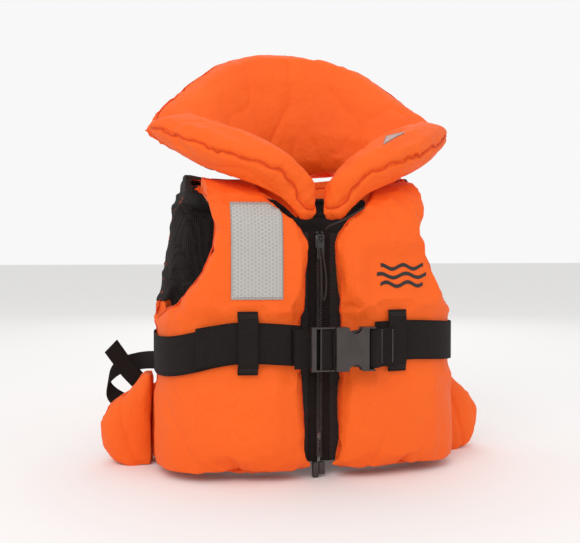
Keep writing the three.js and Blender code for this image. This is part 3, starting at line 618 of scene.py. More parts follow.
def tube(name: str, rail: Sequence[Vector], radius: float, finish: Finish, sides: int = 10,
         closed: bool = False) -> bpy.types.Object:
    """A round cord-like piece along a line.

    Args:
        name: the piece's name.
        rail: its centre line.
        radius: in metres.
        finish: what it is made of.
        sides: how many sides its section has.
        closed: whether its ends join.

    Returns:
        The tube, with closed ends.
    """
    curve = bpy.data.curves.new(name, "CURVE")
    curve.dimensions = "3D"
    spline = curve.splines.new("POLY")
    spline.points.add(len(rail) - 1)
    for place, point in zip(spline.points, rail):
        place.co = (*point, 1)
    spline.use_cyclic_u = closed
    curve.bevel_depth = radius
    curve.bevel_resolution = max(1, (sides - 4) // 2)
    curve.use_fill_caps = True
    holder = bpy.data.objects.new(name + "_line", curve)
    bpy.context.scene.collection.objects.link(holder)
    mesh = bpy.data.meshes.new_from_object(holder.evaluated_get(bpy.context.evaluated_depsgraph_get()))
    bpy.data.objects.remove(holder)
    bpy.data.curves.remove(curve)
    bm = bmesh.new()
    bm.from_mesh(mesh)
    bpy.data.meshes.remove(mesh)
    bmesh.ops.remove_doubles(bm, verts=bm.verts, dist=0.005 * MM)
    return finished(name, bm, finish)


def moulded(name: str, node: str, radius: float, finish: Finish, segments: int = 2) -> bpy.types.Object:
    """A CAD piece with its hard edges rounded as a mould or die leaves them.

    Args:
        name: the new piece's name.
        node: the CAD node that it stands for.
        radius: of the rounding, in metres.
        finish: what it is made of.
        segments: steps in each rounding.

    Returns:
        The rounded piece.
    """
    bm = cad_mesh(node)
    bmesh.ops.dissolve_limit(bm, angle_limit=math.radians(2), verts=bm.verts, edges=bm.edges)
    piece = finished(name, bm, finish)
    bevel = piece.modifiers.new("mould_radius", "BEVEL")
    bevel.width = radius
    bevel.segments = segments
    bevel.limit_method = "ANGLE"
    bevel.angle_limit = math.radians(28)
    bevel.use_clamp_overlap = True
    bevel.harden_normals = False
    apply_modifiers(piece)
    piece.data.shade_smooth()
    piece.data.set_sharp_from_angle(angle=math.radians(35))
    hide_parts(node)
    return piece


def stitches(name: str, rail: Sequence[Vector], pitch: float, size: float, finish: Finish,
             outward: Callable[[Vector], Vector]) -> bpy.types.Object:
    """A row of thread stitches, each a small bead half sunk in the cloth.

    Args:
        name: the row's name.
        rail: the line that they follow.
        pitch: from one to the next, in metres.
        size: the thread's thickness, in metres.
        finish: the thread.
        outward: the cloth's normal near a point.

    Returns:
        All the stitches as one piece.
    """
    bm = bmesh.new()
    walked, due = 0.0, pitch
    for start, end in zip(rail, rail[1:]):
        step = (end - start).length
        while due <= walked + step and step > 0:
            centre = start.lerp(end, (due - walked) / step)
            up = outward(centre)
            along = (end - start).normalized()
            side = up.cross(along).normalized()
            turn = Matrix((along, side, along.cross(side))).transposed().to_4x4()
            stretch = Matrix.Diagonal((pitch * 0.38, size / 2, size / 2, 1))
            bmesh.ops.create_uvsphere(bm, u_segments=6, v_segments=4, radius=1,
                                      matrix=Matrix.Translation(centre) @ turn @ stretch)
            due += pitch
        walked += step
    return finished(name, bm, finish)


# ---------------------------------------------------------------- foam pads
@dataclass
class FoamPad:
    """A sewn cover filled with foam, puffed by a cloth simulation and held in by what lies against it."""

    name: str
    nodes: tuple[str, ...]
    body: str
    side: Side | None
    plane: tuple[float, float, float]
    proud: float = 6 * MM
    swell: float = 8 * MM
    voxel: float = 4.6 * MM
    ease: float = 0.8 * MM
    relaxed: float = 0.35
    pressure: float = 4
    pressed_in: float = 0.7 * MM
    near: float = 3 * MM
    far: float = 24 * MM
    fill: float = 0.7
    crease: float = 2.2 * MM
    pucker: float = 0.9 * MM
    pucker_pitch: float = 17 * MM
    fold: float = 4.2 * MM
    belt_height: float = 133 * MM

    def prepare(self) -> bpy.types.Object:
        """Makes the pad's closed skin, a little smaller than its CAD solids.

        Returns:
            The skin, with a Cloth modifier.
        """
        bm = cad_mesh(*self.nodes)
        piece = finished(self.name, bm, ORANGE)
        remesh = piece.modifiers.new("skin", "REMESH")
        remesh.mode = "VOXEL"
        remesh.voxel_size = self.voxel
        apply_modifiers(piece)
        bm = bmesh.new()
        bm.from_mesh(piece.data)
        keep_outer_skin(bm)
        self.limits = BVHTree.FromBMesh(bm)
        self.seam = self.rim(bm)
        relax(bm, bm.verts, self.relaxed)
        bm.normal_update()
        for vert in bm.verts:
            vert.co -= vert.normal * self.ease
        bm.to_mesh(piece.data)
        bm.free()
        self.piece = piece
        self.start = coordinates(piece)
        cloth = piece.modifiers.new("fill", "CLOTH")
        cloth.settings.use_pressure = True
        cloth.settings.uniform_pressure_force = self.pressure
        cloth.settings.effector_weights.gravity = 0
        cloth.settings.shrink_min = -0.035
        cloth.settings.quality = 4
        cloth.settings.bending_stiffness = 0.4
        cloth.point_cache.frame_end = FoamWork.frames
        return piece

    def rim(self, bm: bmesh.types.BMesh) -> list[Vector]:
        """The line of the cover's outer seam: the skin's furthest points seen along its plane's normal.

        Args:
            bm: the skin.

        Returns:
            Evenly spaced points along the seam.
        """
        normal = Vector(self.plane).normalized()
        first = normal.cross(Vector((0, 0, 1)) if abs(normal.z) < 0.8 else Vector((0, 1, 0))).normalized()
        second = normal.cross(first)
        centre = sum((v.co for v in bm.verts), Vector()) / len(bm.verts)
        sectors = 90
        best: dict[int, tuple[float, Vector]] = {}
        for vert in bm.verts:
            offset = vert.co - centre
            a, b = offset.dot(first), offset.dot(second)
            turn = math.degrees(math.atan2(b, a)) % 360
            sector = int(turn / 360 * sectors)
            reach = math.hypot(a, b)
            if sector not in best or reach > best[sector][0]:
                best[sector] = (reach, vert.co.copy())
        ring = [best[s][1] for s in range(sectors) if s in best]
        for _ in range(3):
            ring = [(ring[i - 1] + 2 * p + ring[(i + 1) % len(ring)]) / 4 for i, p in enumerate(ring)]
        return smooth_path([*ring, ring[0]], 3 * MM)

    def settle(self) -> None:
        """Caps the swelling, holds the skin behind its neighbours and sews the seams into it."""
        apply_modifiers(self.piece)
        swollen = coordinates(self.piece)
        moved = swollen - self.start
        reach = np.linalg.norm(moved, axis=1, keepdims=True)
        capped = self.start + moved * np.minimum(1, self.swell / np.maximum(reach, 1e-9))
        self.piece.data.vertices.foreach_set("co", capped.astype(np.float32).ravel())
        smooth = self.piece.modifiers.new("finer", "SUBSURF")
        smooth.levels = smooth.render_levels = 1
        apply_modifiers(self.piece)
        neighbours = tree_of(*(n for n in NODES if n not in self.nodes and not n.endswith("_foam")))
        walked = [0.0]
        for a, b in zip(self.seam, self.seam[1:]):
            walked.append(walked[-1] + (b - a).length)
        seam = kd_tree(self.seam)
        mesh = self.piece.data
        normals = [v.normal.copy() for v in mesh.vertices]
        for vert, normal in zip(mesh.vertices, normals):
            place = vert.co.copy()
            _, index, off = seam.find(place)
            along = walked[index]
            fold = math.cos(2 * math.pi * along / self.pucker_pitch + 2.2 * noise.noise(place * 30))
            depth = self.crease * math.exp(-((off / (3.2 * MM)) ** 2))
            depth += self.pucker * (0.5 - 0.5 * fold) * math.exp(-off / (11 * MM))
            depth += 0.9 * MM * noise.noise(Vector((place.x * 38, place.y * 38, place.z * 22)))
            depth += self.fold_depth(place)
            place -= normal * depth
            vert.co = self.held(place, neighbours)
        mesh.update()

    def fold_depth(self, place: Vector) -> float:
        """Slanting folds where the cloth is too wide for its foam, gathered most at the belt and the hem.

        Args:
            place: a point of the skin.

        Returns:
            How far the cloth dips there.
        """
        drift = noise.noise(place * 9)
        slant = Vector((place.x * 17 + drift, place.y * 17, place.z * 8 + 0.6 * place.x * 17))
        ridge = 1 - abs(noise.noise(slant))
        gathered = 0.45 + 0.55 * math.exp(-abs(place.z - self.belt_height) / (34 * MM))
        return self.fold * gathered * ridge ** 7

    def held(self, place: Vector, neighbours: BVHTree) -> Vector:
        """Where a point of the skin may be.

        Args:
            place: where it would go.
            neighbours: everything that lies against the pad.

        Returns:
            The point, no prouder than the pad's room allows there.
        """
        found = neighbours.find_nearest(place, self.far)
        clear = found[3] if found[0] is not None else self.far
        room = -self.pressed_in + (self.proud + self.pressed_in) * smooth_step(clear, self.near, self.far)
        spot, normal, _, _ = self.limits.find_nearest(place)
        proud = (place - spot).dot(normal)
        if proud > room:
            return place - normal * (proud - room)
        return place

    def finish(self) -> None:
        self.surface = surface_of(self.piece)
        ridge = [self.held_seam(p) for p in self.seam[::2]]
        seam = tube(f"{self.name}_seam", ridge, 0.9 * MM, THREAD, 8, closed=True)
        for piece in (self.piece, seam):
            attach(piece, self.body, self.side)
        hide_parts(*self.nodes)

    def held_seam(self, point: Vector) -> Vector:
        """A seam point laid on the finished skin."""
        spot, normal, _, _ = self.surface.find_nearest(point)
        return spot + normal * 0.2 * MM


def coordinates(piece: bpy.types.Object) -> np.ndarray:
    """A mesh's points as an array."""
    flat = np.zeros(len(piece.data.vertices) * 3, np.float32)
    piece.data.vertices.foreach_get("co", flat)
    return flat.reshape(-1, 3).astype(float)


def kd_tree(points: Sequence[Vector]) -> KDTree:
    """A search tree over points."""
    tree = KDTree(len(points))
    for i, point in enumerate(points):
        tree.insert(point, i)
    tree.balance()
    return tree


def surface_of(piece: bpy.types.Object) -> BVHTree:
    """A search tree over a finished piece."""
    bm = bmesh.new()
    bm.from_mesh(piece.data)
    tree = BVHTree.FromBMesh(bm)
    bm.free()
    return tree


def keep_outer_skin(bm: bmesh.types.BMesh) -> None:
    """Removes everything but the largest connected skin.

    Args:
        bm: the mesh, changed in place.
    """
    left = set(bm.verts)
    shells: list[set[bmesh.types.BMVert]] = []
    while left:
        shell, edge = set(), [next(iter(left))]
        while edge:
            vert = edge.pop()
            if vert in shell:
                continue
            shell.add(vert)
            edge.extend(e.other_vert(vert) for e in vert.link_edges)
        left -= shell
        shells.append(shell)
    outer = max(shells, key=len)
    bmesh.ops.delete(bm, geom=[v for v in bm.verts if v not in outer], context="VERTS")


def attach(piece: bpy.types.Object, body: str, side: Side | None) -> None:
    """Ties a piece to its body when it has no side; a piece on a front's side only has its placement baked into its
    mesh.

    Args:
        piece: the finished piece.
        body: the CAD body that it belongs to.
        side: the front's side, or None to tie the piece to its body.
    """
    if side is None:
        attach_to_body(piece, body)
        return
    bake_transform(piece)


@dataclass
class FoamWork:
    """All of the jacket's foam pads and their linings."""

    frames = 20
    bend_start = 2 * MM
    bend_end = -58 * MM
    armhole_out = 90 * MM
    armhole_bottom = 172 * MM
    lining_lift = 0.8 * MM
    lining_thickness = 0.9 * MM

    def build(self) -> dict[str, FoamPad]:
        """Makes every pad, simulating them together.

        Returns:
            The pads by name.
        """
        pads = [
            FoamPad("back_pad", ("back_cover", "back_foam", "back_lining"), "root", None, (0, 1, 0)),
            FoamPad("collar_back_pad", ("collar_back_cover", "collar_back_foam"), "root", None,
                    (0, -1, 0.5), proud=7 * MM, fill=0.8),
        ]
        for side in Side:
            word = side.word
            pads += [
                FoamPad(f"front_{word}_pad", (f"front_{word}_cover", f"front_{word}_foam", f"front_{word}_lining"),
                        side.front, side, (0, -1, 0), proud=5 * MM),
                FoamPad(f"collar_{word}_pad", (f"collar_{word}_cover", f"collar_{word}_foam"),
                        side.front, side, (0, -0.4, 1), proud=6 * MM, fill=0.8, crease=2.6 * MM),
                FoamPad(f"hip_{word}_pad", (f"hip_{word}_cover", f"hip_{word}_foam"), "root", None,
                        (0, 1, 0), voxel=4.2 * MM, proud=5 * MM),
            ]
        for pad in pads:
            pad.prepare()
        for number in range(1, self.frames + 1):
            bpy.context.scene.frame_set(number)
        for pad in pads:
            pad.settle()
            log.info("%s: %d faces", pad.name, len(pad.piece.data.polygons))
        bpy.context.scene.frame_set(1)
        made = {pad.name: pad for pad in pads}
        for word, name, side in (("back", "back", None), ("right", "front_right", Side.RIGHT),
                                 ("left", "front_left", Side.LEFT)):
            self.lining(made[f"{name}_pad"], f"{name}_lining", side)
        for pad in pads:
            pad.finish()
        return made

    def lining(self, pad: FoamPad, node: str, side: Side | None) -> None:
        """The lining on a pad's inner face, following the puffed foam.

        Args:
            pad: the pad that it lines.
            node: the CAD lining.
            side: the front's side, or None for the back.
        """
        inner, outer = tree_of(node), tree_of(node.replace("_lining", "_cover"))
        bm = bmesh.new()
        bm.from_mesh(pad.piece.data)
        bm.normal_update()
        drop = []
        for vert in bm.verts:
            outside = abs(vert.co.x) > self.armhole_out and vert.co.z > self.armhole_bottom
            armhole = side is None and outside and vert.normal.y < 0.3
            if not armhole and inner.find_nearest(vert.co)[3] > outer.find_nearest(vert.co)[3] - 0.8 * MM:
                drop.append(vert)
        bmesh.ops.delete(bm, geom=drop, context="VERTS")
        keep_outer_skin(bm)
        for _ in range(6):
            rim = [v for v in bm.verts if v.is_boundary]
            relax(bm, rim, 0.5)
        bm.normal_update()
        for vert in bm.verts:
            vert.co += vert.normal * self.lining_lift
        piece = finished(f"{node}_cloth", bm, LINING)
        piece.data.materials.clear()
        piece.data.materials.append(LINING.material())
        solid = piece.modifiers.new("cloth", "SOLIDIFY")
        solid.thickness = self.lining_thickness
        solid.offset = 0
        apply_modifiers(piece)
        attach(piece, pad.body, side)
        log.info("%s: %d faces", piece.name, len(piece.data.polygons))


@dataclass
class HipGusset:
    """The cloth strip that joins each hip pad to the side of the back."""

    width: float = 15 * MM
    thickness: float = 1.2 * MM
    offset: float = 1 * MM
    depth: float = 22 * MM
    low: float = 6 * MM
    high: float = 86 * MM

    def build(self) -> None:
        """Makes both strips."""
        for side in Side:
            low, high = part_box(f"hip_{side.word}_cover")
            x = low.x if side is Side.LEFT else high.x
            x += side.value * self.offset
            rail = upright(x, self.depth, self.low, self.high, 20)
            piece = ribbon(f"hip_gusset_{side.word}", rail, lambda t: LEFTWARDS, self.width,
                           self.thickness, ORANGE)
            attach(piece, "root", None)


@dataclass
class NeckBinding:
    """The bound seam along which the collar's neck edges are sewn to the shoulders and the back."""

    width: float = 17 * MM
    thickness: float = 1.2 * MM
    back: tuple[tuple[float, float, float], ...] = (
        (-0.061, 0.012, 0.306), (-0.06, 0.028, 0.305), (-0.051, 0.05, 0.302), (-0.028, 0.068, 0.3),
        (0, 0.073, 0.299), (0.028, 0.068, 0.3), (0.051, 0.05, 0.302), (0.06, 0.028, 0.305), (0.061, 0.012, 0.306),
    )
    wing: tuple[tuple[float, float, float], ...] = (
        (0.061, 0.002, 0.306), (0.06, -0.014, 0.305), (0.057, -0.034, 0.301), (0.049, -0.05, 0.294),
        (0.036, -0.063, 0.284), (0.022, -0.07, 0.27),
    )

    def build(self) -> None:
        """Makes the seam's three lengths."""
        self.length("neck_binding_back", self.back, 1, "root", None)
        for side in Side:
            self.length(f"neck_binding_{side.word}", self.wing, side.value, side.front, side)

    def length(self, name: str, points: Sequence[tuple[float, float, float]], sign: int, body: str,
               side: Side | None) -> None:
        """One length of the binding.

        Args:
            name: its name.
            points: its centre line on the wearer's left.
            sign: 1, or -1 to turn it over to the right.
            body: the body that it belongs to.
            side: the front's side, or None for the back.
        """
        rail = smooth_path([Vector((sign * x, y, z)) for x, y, z in points], 3 * MM)
        piece = ribbon(name, rail, lambda t: UP, self.width, self.thickness, ORANGE)
        attach(piece, body, side)


# ---------------------------------------------------------------- straps
def stations(node: str, key: Callable[[Vector], float], wide: Vector) -> tuple[list[Vector], list[Vector]]:
    """The centre line of a CAD strap, whose sections have four corners each.

    Args:
        node: the strap.
        key: sorts its corners from one end to the other.
        wide: roughly the direction of its width.

    Returns:
        The centres, and the direction of the width at each.
    """
    bm = cad_mesh(node)
    corners = sorted((v.co.copy() for v in bm.verts), key=key)
    bm.free()
    centres, across = [], []
    for i in range(0, len(corners) - 3, 4):
        four = sorted(corners[i : i + 4], key=wide.dot)
        centres.append(sum(four, Vector()) / 4)
        across.append(((four[2] + four[3]) - (four[0] + four[1])).normalized())
    return centres, across


def plan_angle(point: Vector) -> float:
    """A point's angle round the jacket, from the back's centre."""
    return math.atan2(point.x, point.y)


@dataclass
class WaistBelt:
    """The belt in its lengths, the loops that hold it and their bar tacks."""

    width: float = 40 * MM
    loop_width: float = 20 * MM
    thickness: float = 1.5 * MM

    def build(self) -> None:
        """Makes the belt, its turned end at the buckle's socket, and the loops."""
        for node, side in (("belt_back", None), ("belt_right", Side.RIGHT), ("belt_right_tail", Side.RIGHT),
                           ("belt_left", Side.LEFT)):
            self.length_of_belt(node, side)
        for side in Side:
            for place in ("front", "back"):
                self.loop(f"belt_loop_{place}_{side.word}", side.front if place == "front" else "root")
        self.turned_end()

    def length_of_belt(self, node: str, side: Side | None) -> None:
        """One length of belt.

        Args:
            node: the CAD strap.
            side: the front that it lies on, or None for the back.
        """
        centres, _ = stations(node, plan_angle, Vector((0, 0, 1)))
        rail = smooth_path(centres, 3.5 * MM)
        piece = ribbon(f"{node}_webbing", rail, lambda t: UP, self.width, self.thickness, BELT_WEB)
        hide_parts(node)
        attach(piece, side.front if side else "root", side)
        log.info("%s: %.0f mm", piece.name, 1000 * sum((b - a).length for a, b in zip(rail, rail[1:])))

    def loop(self, node: str, body: str) -> None:
        """A loop with a bar tack at each end.

        Args:
            node: the CAD strap.
            body: what it is sewn to.
        """
        centres, across = stations(node, lambda p: p.z, Vector((1, 0, 0)))
        wide = across[len(across) // 2]
        rail = smooth_path(centres, 2 * MM)
        piece = ribbon(f"{node}_webbing", rail, lambda t: wide, self.loop_width, self.thickness, LOOP_WEB)
        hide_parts(node)
        attach(piece, body, None)
        surface = surface_of(piece)
        facing = -1 if "front" in node else 1
        for level, end in (("lower", centres[1]), ("upper", centres[-2])):
            rows = []
            for step in range(4):
                lift = Vector((0, 0, (step - 1.5) * 1.1 * MM))
                line = [end + lift + wide * (share * self.loop_width * 0.42) for share in (-1, -0.3, 0.3, 1)]
                rows += line if step % 2 == 0 else line[::-1]
            laid = [on_surface(surface, p, Vector((0, -facing, 0)), 0.15 * MM) for p in rows]
            tack = stitches(f"{node}_{level}_bar_tack", laid, 1.6 * MM, 0.8 * MM, BLACK_THREAD,
                            lambda p: Vector((0, facing, 0)))
            attach(tack, body, None)

    def turned_end(self) -> None:
        """The left belt's end, turned round the socket's rear bar and sewn back on itself."""
        low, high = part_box("buckle_female")
        belt_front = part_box("belt_left")[0].y
        middle = (low.z + high.z) / 2
        bar_front = high.y - 6 * MM
        path = [
            (high.x + 26 * MM, belt_front - 0.9 * MM), (high.x + 12 * MM, belt_front - 1.6 * MM),
            (high.x + 4 * MM, bar_front + 1 * MM), (high.x - 0.4 * MM, bar_front - 0.9 * MM),
            (high.x - 4.0 * MM, bar_front - 0.8 * MM), (high.x - 5.1 * MM, bar_front + 2 * MM),
            (high.x - 4.6 * MM, high.y + 0.9 * MM), (high.x - 0.5 * MM, high.y + 1.7 * MM),
            (high.x + 4.5 * MM, belt_front + 0.4 * MM),
        ]
        rail = smooth_path([Vector((x, y, middle)) for x, y in path], 1.2 * MM)
        piece = ribbon("belt_left_turned_end", rail, lambda t: UP, self.width - 1.2 * MM,
                       1.1 * MM, BELT_WEB)
        attach(piece, Side.LEFT.front, None)
        for column in range(2):
            x = high.x + (10 + 12 * column) * MM
            line = [Vector((x, 0, middle + share * self.width * 0.42)) for share in (-1, 1)]
            laid = [on_surface(surface_of(piece), p + Vector((0, -0.3, 0)), Vector((0, 1, 0)), 0.1 * MM)
                    for p in smooth_path(line, 4 * MM)]
            row = stitches(f"belt_left_end_stitches_{column + 1}", laid, 2.4 * MM, 0.8 * MM, PALE_THREAD,
                           lambda p: Vector((0, -1, 0)))
            attach(row, Side.LEFT.front, None)


def on_surface(surface: BVHTree, point: Vector, towards: Vector, lift: float) -> Vector:
    """A point dropped on a surface.

    Args:
        surface: what it lands on.
        point: where it starts from.
        towards: the direction that it drops in.
        lift: how far above the surface it stays, in metres.

    Returns:
        The landed point, or the nearest point of the surface where the drop misses it.
    """
    start = point - towards * 0.06
    spot, normal, _, _ = surface.ray_cast(start, towards)
    if spot is None:
        spot, normal, _, _ = surface.find_nearest(point)
    return spot - towards * lift


@dataclass
class HipStraps:
    """The crotch strap kept behind the right hip, and the strap that crosses it."""

    width: float = 20 * MM
    thickness: float = 1.5 * MM

    def build(self) -> None:
        """Makes both straps along the CAD straps' own routes."""
        crotch = [(-205, 77.1, 121), (-196, 77.1, 108), (-187, 76.1, 95), (-177, 74.1, 84), (-168, 73.1, 74),
                  (-156, 77.1, 64), (-140, 84.1, 54)]
        crossing = [(-156, 61.1, 106), (-165, 77.1, 104), (-178, 88.1, 101), (-194, 92.1, 96), (-206, 94.1, 84),
                    (-207, 94.1, 68), (-194, 93.1, 56), (-172, 91.1, 48), (-150, 89.1, 42)]
        self.strap("crotch_strap", crotch, lambda t: Vector((0.7 - 0.2 * t, 0.05, 0.72 + 0.14 * t)))
        self.strap("side_strap", crossing, lambda t: Vector((0.35 * t, 0.25 * math.sin(math.pi * t), 1)))

    def strap(self, node: str, path: list[tuple[float, float, float]],
              across: Callable[[float], Vector]) -> None:
        """One strap.

        Args:
            node: the CAD strap.
            path: its route, in millimetres.
            across: the direction of its width.
        """
        rail = smooth_path([Vector(p) * MM for p in path], 3 * MM)
        piece = ribbon(f"{node}_webbing", rail, across, self.width, self.thickness, LOOP_WEB)
        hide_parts(node)
        attach(piece, "root", None)


# ---------------------------------------------------------------- buckle
@dataclass
class ReleaseBuckle:
    """The side-release buckle: socket, plug with two springy prongs, and the webbing round the plug's bar."""

    radius: float = 0.9 * MM
    bar_from_end: float = 9.2 * MM
    bar: float = 9 * MM
    slot: float = 4.8 * MM

    def build(self) -> None:
        """Makes the four moulded pieces and the webbing."""
        for node, body, radius in (("buckle_female", "front_left", self.radius),
                                   ("buckle_male", "buckle_male", self.radius * 0.6),
                                   ("prong_upper", "prong_upper", 0.4 * MM),
                                   ("prong_lower", "prong_lower", 0.4 * MM)):
            attach(moulded(f"{node}_moulding", node, radius, ACETAL, 3), body, None)
        self.webbing()
        log.info("buckle built")

    def webbing(self) -> None:
        """Belt webbing folded round the plug's bar."""
        low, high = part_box("buckle_male")
        start, middle = low.x, (low.z + high.z) / 2
        back, front = high.y + 0.9 * MM, low.y + 1.1 * MM
        bar = start + self.bar_from_end
        wrap = bar + self.bar + self.slot / 2 - 0.2 * MM
        path = [(start - 16 * MM, back - 0.2 * MM), (bar - 2 * MM, back), (wrap - 1.6 * MM, back),
                (wrap - 0.1 * MM, back - 1.8 * MM), (wrap - 0.1 * MM, front + 1.6 * MM),
                (wrap - 1.8 * MM, front), (bar + 1.2 * MM, front)]
        rail = smooth_path([Vector((x, y, middle)) for x, y in path], 1 * MM)
        piece = ribbon("buckle_webbing_fold", rail, lambda t: UP, 38.8 * MM, 1.1 * MM, BELT_WEB)
        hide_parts("buckle_webbing")
        attach(piece, "buckle_male", None)


# ---------------------------------------------------------------- zip
@dataclass
class FrontZip:
    """The open-end zip: tapes, coil teeth, stops, box, pin, slider, pull and the cloth loop on it."""

    tooth_pitch: float = 2.2 * MM
    tooth_reach: float = 0.5 * MM
    tooth_share: float = 0.42
    facing_width: float = 15 * MM

    def build(self) -> None:
        """Makes both halves and what runs on them."""
        for side in Side:
            self.tape(side)
            self.facing(side)
            self.teeth(side)
            stop = f"zip_top_stop_{side.word}"
            attach(moulded(f"{stop}_clamp", stop, 0.4 * MM, ZINC), side.front, None)
        attach(moulded("zip_box_moulding", "zip_box", 0.8 * MM, COIL, 3), "front_right", None)
        attach(moulded("zip_pin_moulding", "zip_pin", 0.8 * MM, COIL, 3), "front_left", None)
        attach(moulded("zip_slider_casting", "zip_slider", 0.45 * MM, ZINC, 3), "zip_slider", None)
        attach(moulded("zip_pull_stamping", "zip_pull", 0.4 * MM, ZINC, 3), "zip_pull", None)
        self.pull_loop()
        log.info("zip built")

    def tape(self, side: Side) -> None:
        """A woven tape.

        Args:
            side: the front that it is sewn to.
        """
        node = f"zip_tape_{side.word}"
        low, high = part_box(node)
        centre = (low + high) / 2
        rail = upright(centre.x, centre.y, low.z, high.z, 60)
        piece = ribbon(f"{node}_weave", rail, lambda t: LEFTWARDS, high.x - low.x, high.y - low.y, ZIP_TAPE)
        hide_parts(node)
        attach(piece, side.front, None)

    def facing(self, side: Side) -> None:
        """The black cloth that the tape is sewn to, which closes the valley beside it.

        Args:
            side: the front that it belongs to.
        """
        low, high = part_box(f"zip_tape_{side.word}")
        x = side.value * (max(abs(low.x), abs(high.x)) + self.facing_width / 2 - 1 * MM)
        rail = upright(x, high.y + 0.6 * MM, low.z, high.z, 40)
        piece = ribbon(f"zip_facing_{side.word}", rail, lambda t: LEFTWARDS, self.facing_width, 0.8 * MM,
                       LINING)
        attach(piece, side.front, None)

    def teeth(self, side: Side) -> None:
        """A coil's turns, which mesh with the other side's.

        Args:
            side: the tape that they are sewn to.
        """
        node = f"zip_coil_{side.word}"
        low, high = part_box(node)
        inner = -side.value * self.tooth_reach
        outer = side.value * max(abs(low.x), abs(high.x))
        first = low.z + self.tooth_pitch * (0.5 if side is Side.LEFT else 1.0)
        count = int((high.z - first) / self.tooth_pitch)
        bm = bmesh.new()
        half_height = self.tooth_pitch * self.tooth_share
        size = Matrix.Diagonal((abs(outer - inner) / 2, (high.y - low.y) / 2, half_height, 1))
        for i in range(count):
            centre = Vector(((inner + outer) / 2, (low.y + high.y) / 2, first + i * self.tooth_pitch))
            bmesh.ops.create_uvsphere(bm, u_segments=8, v_segments=5, radius=1,
                                      matrix=Matrix.Translation(centre) @ size)
        piece = finished(f"{node}_turns", bm, COIL)
        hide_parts(node)
        attach(piece, side.front, None)

    def pull_loop(self) -> None:
        """A cloth tab loop that hangs from the pull."""
        low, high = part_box("zip_pull_loop")
        y = (low.y + high.y) / 2
        height = high.z - low.z
        shape = [(0.5, 1), (3.4, 0.7), (5.2, 0.38), (4.4, 0.12), (2.4, 0.02), (0.7, 0.12), (0.4, 0.45),
                 (-0.6, 0.75), (-2.0, 1)]
        rail = smooth_path([Vector((x * MM, y, low.z + share * height)) for x, share in shape], 1.5 * MM)
        piece = tube("zip_pull_cloth_loop", rail, 1.0 * MM, BRAID, 10)
        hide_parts("zip_pull_loop")
        attach(piece, "zip_pull", None)


